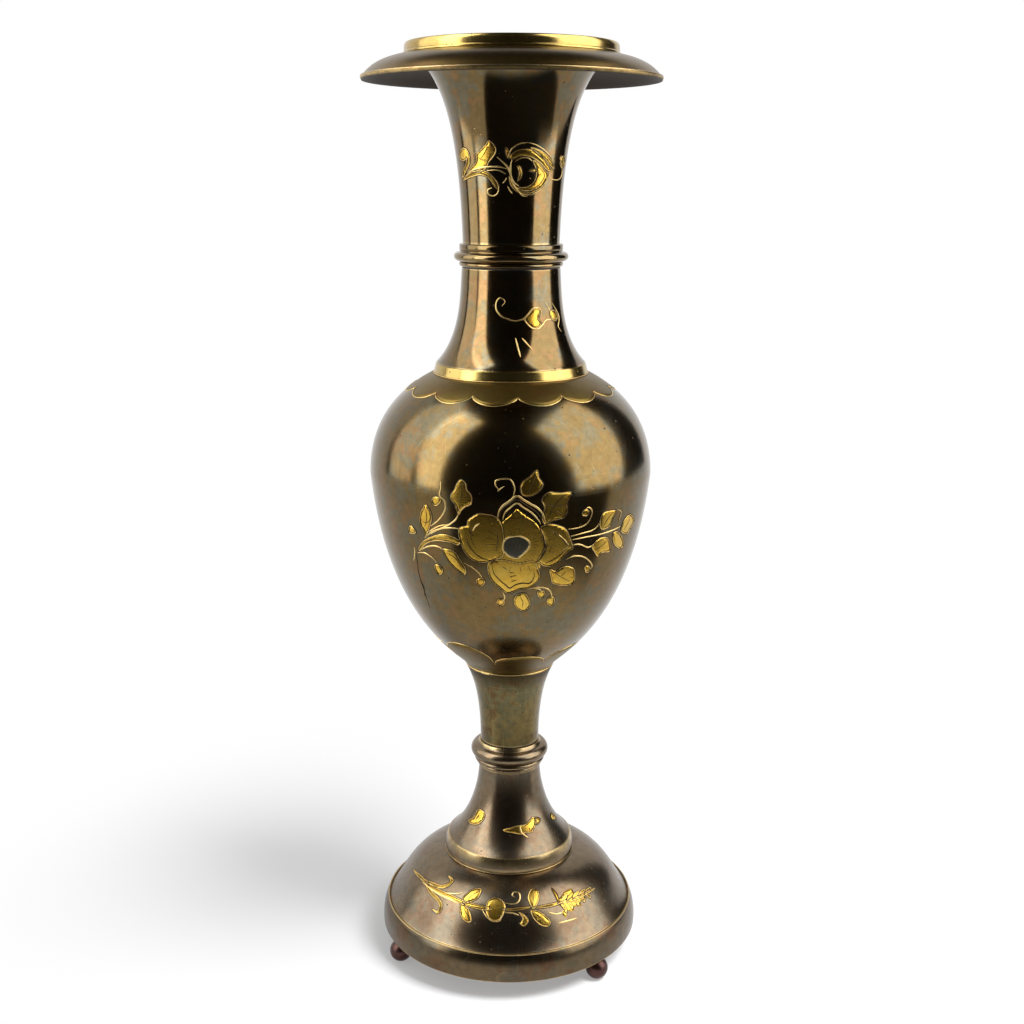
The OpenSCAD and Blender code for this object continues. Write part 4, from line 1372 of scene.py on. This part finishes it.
@dataclass
class Foot(Section):
    """Ball feet, base band, dome, collar, lower stem and knop, with what holds them together.

    Attributes:
        ball_d, ball_flat_d, ball_circle_r, stud_d: Sizes of the ball feet.
        ball_bearings: Directions of the balls from +X, in degrees, by node.
        band_r, band_top_r: Radii of the base band.
        plate_t: Thickness of the foot plate.
        collar_r, collar_top_r: Radii of the step collar.
        stem_r, stem_flare: Radius of the stem at its top, and reach of its flare.
        knop_r: Radius of the knop's large bead.
    """

    body: str = "foot"
    ball_d: float = 15.2
    ball_flat_d: float = 3.0
    ball_circle_r: float = 85.0
    stud_d: float = 4.0
    ball_bearings: tuple[tuple[str, float], ...] = (("ball_left", -152.0), ("ball_right", -45.0), ("ball_back", 82.0))
    band_r: float = 89.8
    band_top_r: float = 86.1
    plate_t: float = 3.0
    collar_r: float = 45.3
    collar_top_r: float = 43.3
    stem_r: float = 21.0
    stem_flare: float = 13.1
    knop_r: float = 26.7

    def build(self) -> None:
        """Builds every piece of the foot."""
        self.balls()
        self.band()
        self.dome()
        self.collar()
        self.stem()
        self.knop()
        for node, finish in (("foot_plate", "brown_brass"), ("stem_socket", "inner_brass"), ("tie_rod", "steel"),
                             ("tie_washer", "steel"), ("tie_nut", "steel")):
            self.shop.keep(node, finish)

    def balls(self) -> None:
        """Builds the three ball feet with their studs."""
        r, base, stud = self.ball_d / 2, span("base_band")[0], self.stud_d / 2
        mid, top = math.sqrt(r * r - (self.ball_flat_d / 2) ** 2), base + self.plate_t
        low, high = -math.asin(mid / r), math.asin((base - mid) / r)
        turns = [low + (high - low) * k / 40 for k in range(41)]
        outline = Outline().run([(0.0, 0.0)] + [(r * math.cos(a), mid + r * math.sin(a)) for a in turns]
                                + [(stud, base), (stud, top), (0.0, top)])
        outline.worn = [1.0 if z < 1.2 else 0.0 for _, z in outline.points]
        for node, bearing in self.ball_bearings:
            piece = self.shop.turned(node + "_foot", outline.closed(0.25, 40), "ball_bronze", BALL_SEGMENTS)
            a = math.radians(bearing)
            piece.data.transform(Matrix.Translation((self.ball_circle_r * MM * math.cos(a),
                                                     self.ball_circle_r * MM * math.sin(a), 0)))
            self.shop.place(piece, self.body, "ball_bronze", node)

    def band(self) -> None:
        """Builds the base band with its inner ledge."""
        z0, z1 = span("base_band")
        h, dome_r, seat = z1 - z0, self.band_top_r - 1.2, span("base_dome")[0]
        plate_r, top = self.band_r - 1.6, z0 + self.plate_t
        outline = Outline().run(cubic((self.band_r, z0), (self.band_r + 0.6, z0 + h * 0.44),
                                      (self.band_top_r + 2.4, z0 + h * 0.80), (self.band_top_r, z1)))
        outline.run([(dome_r + self.gap, z1), (dome_r + self.gap, seat), (dome_r - 3.5, seat),
                     (dome_r - 3.5, seat - 1.6), (dome_r - self.wall / 2, seat - 1.6), (plate_r - self.wall, top),
                     (plate_r, top), (plate_r, z0)], Side.INNER)
        self.turn("base_band", "base_band_shell", outline.closed(0.3), "band_brass", "brown_brass")
        self.chaser.hoop("base_band_bead", self.body, self.band_top_r - 0.1, z1 - 0.3, 0.75)

    def dome(self) -> None:
        """Builds the dome and its garland."""
        z0, (seat, z1) = span("base_band")[1], span("base_dome")
        h, r, under, bore = z1 - z0, self.band_top_r - 1.2, z0 + self.wall / 2, 4.05
        line = cubic((r, z0), (r - 7.9, z0 + h * 0.23), (r - 12.2, z1 - h * 0.15), (self.collar_r, z1), 80)
        outline = Outline().run([(r, seat)]).run(line).run([(bore, z1)])
        outline.run([(bore, z1 - self.wall)] + inner_side(line, self.wall, under, z1 - self.wall)
                    + [(r - self.wall, under), (r - self.wall, seat)], Side.INNER)
        self.turn("base_dome", "base_dome_shell", outline.closed(), "foot_brass")
        self.chaser.chase(GARLAND, line, self.body)

    def collar(self) -> None:
        """Builds the step collar."""
        (low, high), land, r = span("step_collar"), self.collar_top_r - 6, self.collar_r
        outline = Outline().run([(r - self.wall, low), (r, low), (r + 0.25, low + (high - low) * 0.4),
                                 (self.collar_top_r, high), (land, high)])
        outline.run([(land, high - self.wall), (self.collar_top_r - self.wall, high - self.wall)], Side.INNER)
        self.turn("step_collar", "step_collar_ring", outline.closed(0.28), "foot_brass")
        self.chaser.hoop("step_collar_foot_line", self.body, r, low + 0.5, 0.4)

    def stem(self) -> None:
        """Builds the lower stem and its leaves."""
        (z0, z1), r = span("lower_stem"), self.stem_r
        h = z1 - z0
        line = cubic((self.collar_top_r - 0.3, z0), (r + self.stem_flare, z0 + h * 0.12), (r + 1.3, z0 + h * 0.47),
                     (r, z1))
        self.turn("lower_stem", "lower_stem_shell", self.spun(line, z0, z1), "foot_brass")
        self.chaser.chase(STEM_LEAVES, line, self.body)

    def knop(self) -> None:
        """Builds the knop from three beads."""
        (z, top), r = span("knop"), self.stem_r
        outline = Outline().run([(r - self.wall, z)]).run(bead(r + 0.4, z, z + 2.4, 1.1), worn=0.15)
        outline.run(bead(r + 1.4, z + 2.4, z + 6.0, 1.8), worn=0.2)
        outline.run(bead(r + 1.4, z + 6.0, z + 15.0, self.knop_r - r - 1.4, 40), worn=0.1)
        outline.run([(r + 0.8, z + 15.6), (r - 0.1, top), (r - self.wall, top)])
        self.turn("knop", "knop_ring", outline.closed(0.2, 60), "foot_brass")


@dataclass
class BowlSection(Section):
    """Threaded spigot, upper stem, bowl, shoulder collar and lower neck.

    Attributes:
        stem_r, stem_top_r: Radii of the upper stem.
        thread_r: Crest radius of the spigot's thread.
        belly_r, belly_h: Radius and height of the bowl's widest part.
        shoulder_r, shoulder_top_r: Radii of the shoulder collar.
        neck_r: Radius of the lower neck at its top.
    """

    body: str = "bowl_section"
    stem_r: float = 20.1
    stem_top_r: float = 30.0
    thread_r: float = 16.0
    belly_r: float = 92.7
    belly_h: float = 136.0
    shoulder_r: float = 50.3
    shoulder_top_r: float = 48.7
    neck_r: float = 31.7

    def build(self) -> None:
        """Builds every piece of the bowl section."""
        self.spigot("stem_spigot", "upper_stem", self.thread_r, self.stem_r - self.wall - self.gap)
        self.upper_stem()
        self.bowl()
        self.collar()
        self.neck()
        self.shop.keep("stem_seal", "seal")
        self.shop.keep("neck_socket", "inner_brass")

    def upper_stem(self) -> None:
        """Builds the upper stem, whose top gets painted shade that darkens it towards the bowl."""
        (z0, z1), r, top, dark = span("upper_stem"), self.stem_r, self.stem_top_r, 13
        h, under = z1 - z0, z1 - self.wall / 2
        line = cubic((r, z0), (r, z0 + h * 0.39), (r + 2.5, z1 - h * 0.25), (top, z1))
        outline = Outline().run(line)
        # Painted shade under the bowl: the top 13 mm of the outside get the dark inside colour, rising to 0.85 at the
        # top.
        outline.inner = [max(0.0, (z - z1 + dark) / dark) * 0.85 for _, z in outline.points]
        outline.run([(top - 2 * self.wall, z1)])
        outline.run([(top - 2 * self.wall, under)] + inner_side(line, self.wall, z0, under), Side.INNER)
        self.turn("upper_stem", "upper_stem_shell", outline.closed(0.15), "stem_brass")

    def bowl(self) -> None:
        """Builds the bowl, its flower and its two scalloped bands."""
        (z0, rim), z1 = span("bowl"), span("shoulder_collar")[0]
        low_h, mid, top_h = self.belly_h, z0 + self.belly_h, z1 - z0 - self.belly_h
        r, foot, lip = self.belly_r, self.stem_top_r, self.shoulder_r
        line = cubic((foot, z0), (foot - 3.4, z0 + low_h * 0.051), (r - 10.5, z0 + low_h * 0.181), (r, mid), 80)
        line += cubic((r, mid), (r - 0.3, mid + top_h * 0.318), (r - 7.7, z1 - top_h * 0.26), (lip, z1), 58)[1:]
        outline = Outline().run([(0.0, z0)]).run(line).run([(lip - 3.8, z1), (lip - 3.8, rim), (lip - 5.8, rim)])
        outline.run([(lip - 5.8, z1 - self.wall)] + inner_side(line, self.wall, z0 + self.wall, z1 - self.wall)
                    + [(0.0, z0 + self.wall)], Side.INNER)
        self.turn("bowl", "bowl_shell", outline.closed(0.25), "bowl_brass")
        guide = self.chaser.chase(FLOWER, line, self.body)
        self.scallop("shoulder_scallops", guide, line, (z1, 399.5, 395.0), 62.0, 14, 16.9, 0.62)
        self.scallop("bowl_foot_scallops", guide, line, (z0 + 0.9, 218.7, 227.0, 229.0, 231.0, 235.0), 47.0,
                     8, 9.0, 0.4)

    def collar(self) -> None:
        """Builds the shoulder collar."""
        low, high = span("shoulder_collar")
        bore = self.shoulder_r - 3.8 + self.gap
        outline = Outline().run([(bore, low), (self.shoulder_r, low), (self.shoulder_top_r, high), (bore, high)])
        self.turn("shoulder_collar", "shoulder_collar_ring", outline.closed(0.6), "gold_brass", "gold_brass")

    def scallop(self, name: str, guide: bpy.types.Object, line: Line, heights: tuple[float, ...], radius: float,
                petals: int, bearing: float, full: float) -> None:
        """Lays a scalloped band with its bright edges round the bowl.

        Args:
            name: Name of the band.
            guide: Guide line of the bowl.
            line: The bowl's outside line.
            heights: Heights of the band's plain edge, its cusps and its tips.
            radius: Radius at which widths are true.
            petals: Number of petals.
            bearing: Direction of one petal's middle, in degrees.
            full: Exponent of the petals' arches.
        """
        arc = lengths(line)

        def along(z: float) -> float:
            """Returns the distance along the bowl's line to a height."""
            k = next(n for n in range(1, len(line)) if line[n][1] >= z - 1e-6 or n == len(line) - 1)
            low, high = line[k - 1][1], line[k][1]
            return arc[k - 1] + (arc[k] - arc[k - 1]) * max(0.0, min(1.0, (z - low) / (high - low)))

        root, cusp, *tips = (along(z) for z in heights)
        verts, faces, edge = Chaser.scallops(petals, radius, root, cusp, tips, full)
        motif = Motif(name, bearing - 180 / petals * (2 * (petals // 2 // 2 * 2) + 1), 0.0, radius)
        self.chaser.lay(Relief.BAND, motif, guide, self.body, verts, faces)
        self.chaser.lay_line(Relief.BAND_EDGE, motif, guide, self.body, edge, 0.3)
        self.chaser.lay_line(Relief.BAND_BASE, motif, guide, self.body, Chaser.round_line(radius, root), 0.4)

    def neck(self) -> None:
        """Builds the lower neck and its tendril."""
        (z0, z1), r = span("lower_neck"), self.neck_r
        h = z1 - z0
        line = cubic((self.shoulder_top_r, z0), (r + 0.2, z0 + h * 0.28), (r + 1.1, z1 - h * 0.23), (r, z1))
        self.turn("lower_neck", "lower_neck_shell", self.spun(line, z0, z1), "patina_brass")
        self.chaser.chase(TENDRIL, line, self.body)


@dataclass
class MouthSection(Section):
    """Threaded spigot, neck ring, upper neck, mouth flange and lip ring.

    Attributes:
        root_r: Radius at the foot of the neck ring.
        thread_r: Crest radius of the spigot's thread.
        ring_r: Radius of the ring's large bead.
        neck_r, neck_top_r: Radii of the upper neck.
        brim_r, lip_r, lip_t: Radii of the flange and the lip ring, and the ring's wall.
        brim_z: Height of the flange's edge.
    """

    body: str = "mouth_section"
    root_r: float = 31.7
    thread_r: float = 27.0
    ring_r: float = 36.7
    neck_r: float = 31.0
    neck_top_r: float = 61.5
    brim_r: float = 93.9
    lip_r: float = 67.2
    lip_t: float = 3.4
    brim_z: float = 589.601

    def build(self) -> None:
        """Builds every piece of the mouth section."""
        self.spigot("neck_spigot", "neck_ring", self.thread_r, self.neck_r - self.wall - 2 * self.gap)
        self.ring()
        self.neck()
        self.flange()
        self.lip()
        self.shop.keep("neck_seal", "seal")

    def ring(self) -> None:
        """Builds the neck ring."""
        (z, top), r, bore = span("neck_ring"), self.root_r, self.neck_r - self.wall - self.gap
        outline = Outline().run([(bore, z)]).run(bead(r, z, z + 3.3, 1.7), worn=0.4)
        outline.run(bead(r + 1.4, z + 3.3, z + 9.3, self.ring_r - r - 1.4, 34), worn=0.35)
        outline.run([(r + 1.1, z + 9.9), (r + 1.5, z + 10.3), (r + 1.5, top - 0.5), (r + 1.0, top), (bore, top)])
        self.turn("neck_ring", "neck_ring_beads", outline.closed(0.2, 60), "patina_brass")

    def neck(self) -> None:
        """Builds the upper neck and its scroll."""
        (z0, z1), r = span("upper_neck"), self.neck_r
        h = z1 - z0
        line = cubic((r, z0), (r + 1.8, z0 + h * 0.54), (r + 9.7, z1 - h * 0.08), (self.neck_top_r, z1), 96)
        self.turn("upper_neck", "upper_neck_shell", self.spun(line, z0, z1), "patina_brass")
        self.chaser.chase(SCROLL, line, self.body)

    def flange(self) -> None:
        """Builds the mouth flange and the bright line on its edge."""
        seat, hole, r = span("lip_ring")[0], self.neck_top_r - 0.6, self.brim_r
        drop = seat - self.brim_z
        line = cubic((self.lip_r, seat), (r - 5.1, seat - drop * 0.24), (r - 3.0, seat - drop * 0.92), (r, self.brim_z),
                     72)[::-1]
        outline = Outline().run(line).run([(hole, seat), (hole - 0.7 * self.wall, seat - self.wall)])
        outline.run(inner_side(line, self.wall, -1e9, seat - self.wall)[:-1], Side.INNER)
        self.turn("mouth_flange", "mouth_flange_shell", outline.closed(0.5), "brown_brass", "brown_brass")
        self.chaser.hoop("mouth_flange_bead", self.body, r - 0.7, self.brim_z + 0.5, 0.6)

    def lip(self) -> None:
        """Builds the lip ring."""
        (seat, top), r, t = span("lip_ring"), self.lip_r, self.lip_t
        outline = Outline().run([(r - t, seat), (r, seat), (r, seat + 1.3), (r - 0.5, seat + 1.7), (r - 0.6, top - 1.8),
                                 (r - 1.5, top), (r - t + 0.3, top), (r - t, top - 0.3)])
        self.turn("lip_ring", "lip_ring_shell", outline.closed(0.9), "gold_brass", "gold_brass")


# ---- Studio ----

def staged(name: str, verts: list, faces: list, mat: bpy.types.Material) -> bpy.types.Object:
    """Makes an object that belongs to the studio and returns it."""
    obj = Workshop.host(name, verts, [], faces, {})
    obj.data.materials.append(mat)
    obj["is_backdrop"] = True
    return obj


class Sees(Enum):
    """What a soft light falls on: polished surfaces, which mirror it, or matt ones."""

    GLOSS = "gloss"
    MATT = "matt"


@dataclass(frozen=True)
class SoftBox:
    """A large soft light.

    Attributes:
        name: Name of the light.
        bearing: Degrees from the front, to the right.
        distance: Distance from the axis, in metres.
        width, height: Size, in metres.
        middle: Height of its middle, in metres.
        level: Brightness of its face, where white paper is 1.
        lights: What the light falls on.
        aim: Height that it faces, in metres.
    """

    name: str
    bearing: float
    distance: float
    width: float
    height: float
    middle: float
    level: float
    lights: Sees
    aim: float = 0.35

    def build(self) -> None:
        """Builds the light, facing the axis."""
        data = bpy.data.lights.new(self.name, "AREA")
        data.shape = "RECTANGLE"
        data.size, data.size_y = self.width, self.height
        data.energy = self.level * math.pi * self.width * self.height
        obj = bpy.data.objects.new(self.name, data)
        a = math.radians(self.bearing)
        obj.location = (self.distance * math.sin(a), -self.distance * math.cos(a), self.middle)
        toward = Vector((0, 0, self.aim)) - obj.location
        obj.rotation_euler = toward.to_track_quat("-Z", "Y").to_euler()
        obj.visible_camera = False
        obj.visible_glossy = self.lights is Sees.GLOSS
        obj.visible_diffuse = self.lights is Sees.MATT
        bpy.context.scene.collection.objects.link(obj)


@dataclass(frozen=True)
class DarkScreen:
    """A dark cloth round the vase, which only polished surfaces show.

    Attributes:
        name: Name of the cloth.
        left, right: Bearings of its two ends, in degrees.
        low, high: Elevations of its lower and upper edge, in degrees.
        radius: Distance from the axis, in metres.
        inner: Radius where a cloth on the floor starts, in metres; 0 for one that hangs.
        shade: Brightness of the cloth's colour.
        cols, rows: Steps across and up the cloth.
    """

    name: str
    left: float
    right: float
    low: float = 0.0
    high: float = 0.0
    radius: float = 3.0
    inner: float = 0.0
    shade: float = 0.03
    cols: int = 48
    rows: int = 10

    def points(self) -> list[tuple[float, float, float]]:
        """Returns the cloth's grid of points, row by row."""
        out = []
        for row in range(self.rows + 1):
            t = row / self.rows
            if self.inner:
                across, up = self.inner + (self.radius - self.inner) * t, 0.004
            else:
                rise = math.radians(self.low + (self.high - self.low) * t)
                across, up = self.radius * math.cos(rise), self.radius * math.sin(rise)
            for col in range(self.cols + 1):
                a = math.radians(self.left + (self.right - self.left) * col / self.cols)
                out.append((across * math.sin(a), -across * math.cos(a), up))
        return out

    def build(self) -> None:
        """Builds the cloth, with an edge that fades where it lies on the floor."""
        wide = self.cols + 1
        faces = [(k, k + 1, k + wide + 1, k + wide) for row in range(self.rows)
                 for k in range(row * wide, row * wide + self.cols)]
        mat = bpy.data.materials.new(self.name)
        mat.use_nodes = True
        g = Graph(mat.node_tree)
        g.tree.nodes.clear()
        solid = g.band(g.from_axis(), self.inner, self.inner * 2.2 + 0.001)
        mix = g.get("MixShader", {0: solid, 1: g.get("BsdfTransparent"),
                                  2: g.get("BsdfDiffuse", {"Color": rgba((self.shade,) * 3)})})
        g.put(g.add("OutputMaterial").inputs["Surface"], mix)
        obj = staged(self.name, self.points(), faces, mat)
        obj.visible_camera = obj.visible_diffuse = obj.visible_shadow = False


@dataclass(frozen=True)
class Studio:
    """Pale floor, white room, soft boxes and dark cloths.

    Attributes:
        boxes: The soft lights.
        screens: The dark cloths.
        floor_color: Colour of the floor.
        floor_half: Half the floor's width, in metres.
        fade: Distances from the vase, in metres, between which the floor turns white.
        glow: Share of plain white in the floor near the vase, as seen and as mirrored.
        room_light: Brightness of the room as a light.
    """

    boxes: tuple[SoftBox, ...] = (
        SoftBox("left soft box", -66.5, 1.15, 0.58, 1.9, 1.00, 5.2, Sees.GLOSS),
        SoftBox("far left soft box", -97.0, 1.15, 0.72, 1.9, 1.00, 2.6, Sees.GLOSS),
        SoftBox("right soft box", 76.0, 1.15, 1.33, 1.9, 1.00, 3.7, Sees.GLOSS),
        SoftBox("key light", 60.0, 1.0, 0.8, 0.8, 1.65, 22.5, Sees.MATT),
    )
    screens: tuple[DarkScreen, ...] = (
        DarkScreen("front cloth", -118.0, 140.0, 0.0, 50.0),
        DarkScreen("top cloth", -180.0, 180.0, 50.0, 90.0),
        DarkScreen("floor cloth", -50.0, 84.0, inner=0.24),
    )
    floor_color: Rgb = (0.84, 0.84, 0.85)
    floor_half: float = 6.0
    fade: tuple[float, float] = (0.12, 0.45)
    glow: float = 0.3
    room_light: float = 0.42

    def build(self) -> None:
        """Builds the floor, the room, the lights and the cloths."""
        for part in self.boxes + self.screens:
            part.build()
        self.floor()
        self.room()

    @staticmethod
    def seen(g: Graph) -> Value:
        """Returns 1 for what the camera, gloss or glass sees, and 0 for light on other surfaces."""
        path = g.add("LightPath")
        gloss = g.math("MAXIMUM", g.of(path, "Is Glossy Ray"), g.of(path, "Is Transmission Ray"))
        return g.math("MAXIMUM", g.of(path, "Is Camera Ray"), gloss)

    def floor(self) -> None:
        """Builds the floor, which runs out into the white of the room."""
        mat, g, shader = painted("pale floor", self.floor_color)
        shader.inputs["Base Color"].default_value = rgba(self.floor_color)
        shader.inputs["Roughness"].default_value = 0.8
        out = next(n for n in g.tree.nodes if n.type == "OUTPUT_MATERIAL")
        share = self.seen(g) * g.band(g.from_axis(), *self.fade, self.glow)
        white = g.get("Emission", {"Color": (1, 1, 1, 1), "Strength": 1.0})
        g.put(out.inputs["Surface"], g.get("MixShader", {0: share, 1: g.of(shader), 2: white}))
        s = self.floor_half
        staged("floor", [(-s, -s, 0), (s, -s, 0), (s, s, 0), (-s, s, 0)], [(0, 1, 2, 3)], mat)

    def room(self) -> None:
        """Builds the white room round the vase."""
        world = bpy.data.worlds.new("studio")
        world.use_nodes = True
        bpy.context.scene.world = world
        g = Graph(world.node_tree)
        g.tree.nodes.clear()
        dim, white = (g.get("Background", {"Color": (1, 1, 1, 1), "Strength": s}) for s in (self.room_light, 1.0))
        g.put(g.add("OutputWorld").inputs["Surface"], g.get("MixShader", {0: self.seen(g), 1: dim, 2: white}))


def camera() -> None:
    """Builds the camera, level with the vase's mouth and tilted down."""
    data = bpy.data.cameras.new("camera")
    data.lens, data.sensor_width = CAMERA_LENS, CAMERA_SENSOR
    obj = bpy.data.objects.new("camera", data)
    obj.matrix_world = (Matrix.Translation(CAMERA_AT) @ Matrix.Rotation(math.radians(CAMERA_TILT), 4, "X")
                        @ Matrix.Rotation(math.radians(CAMERA_ROLL), 4, "Z"))
    bpy.context.scene.collection.objects.link(obj)
    bpy.context.scene.camera = obj


def main() -> None:
    """Builds the whole vase, its studio and the camera."""
    logging.basicConfig(level=logging.INFO, format="%(name)s: %(message)s")
    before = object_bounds()
    bpy.context.scene.view_settings.view_transform = "Standard"
    camera()
    fx = Effects()
    shop = Workshop(Trees(), {key: finish.build(fx) for key, finish in FINISHES.items()})
    chaser = Chaser(shop)
    for section in (Foot(shop, chaser), BowlSection(shop, chaser), MouthSection(shop, chaser)):
        section.build()
    for obj in [o for o in bpy.data.objects if o.name.endswith(" guide")]:
        bpy.data.objects.remove(obj)
    Studio().build()
    log.info("%d pieces, %d triangles", len(shop.made), sum(shop.made.values()))
    sizes = {name: [[round(c, 6) for c in corner] for corner in box]
             for name, box in (("cad", before), ("visual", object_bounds()))}


if __name__ == "__main__":
    main()
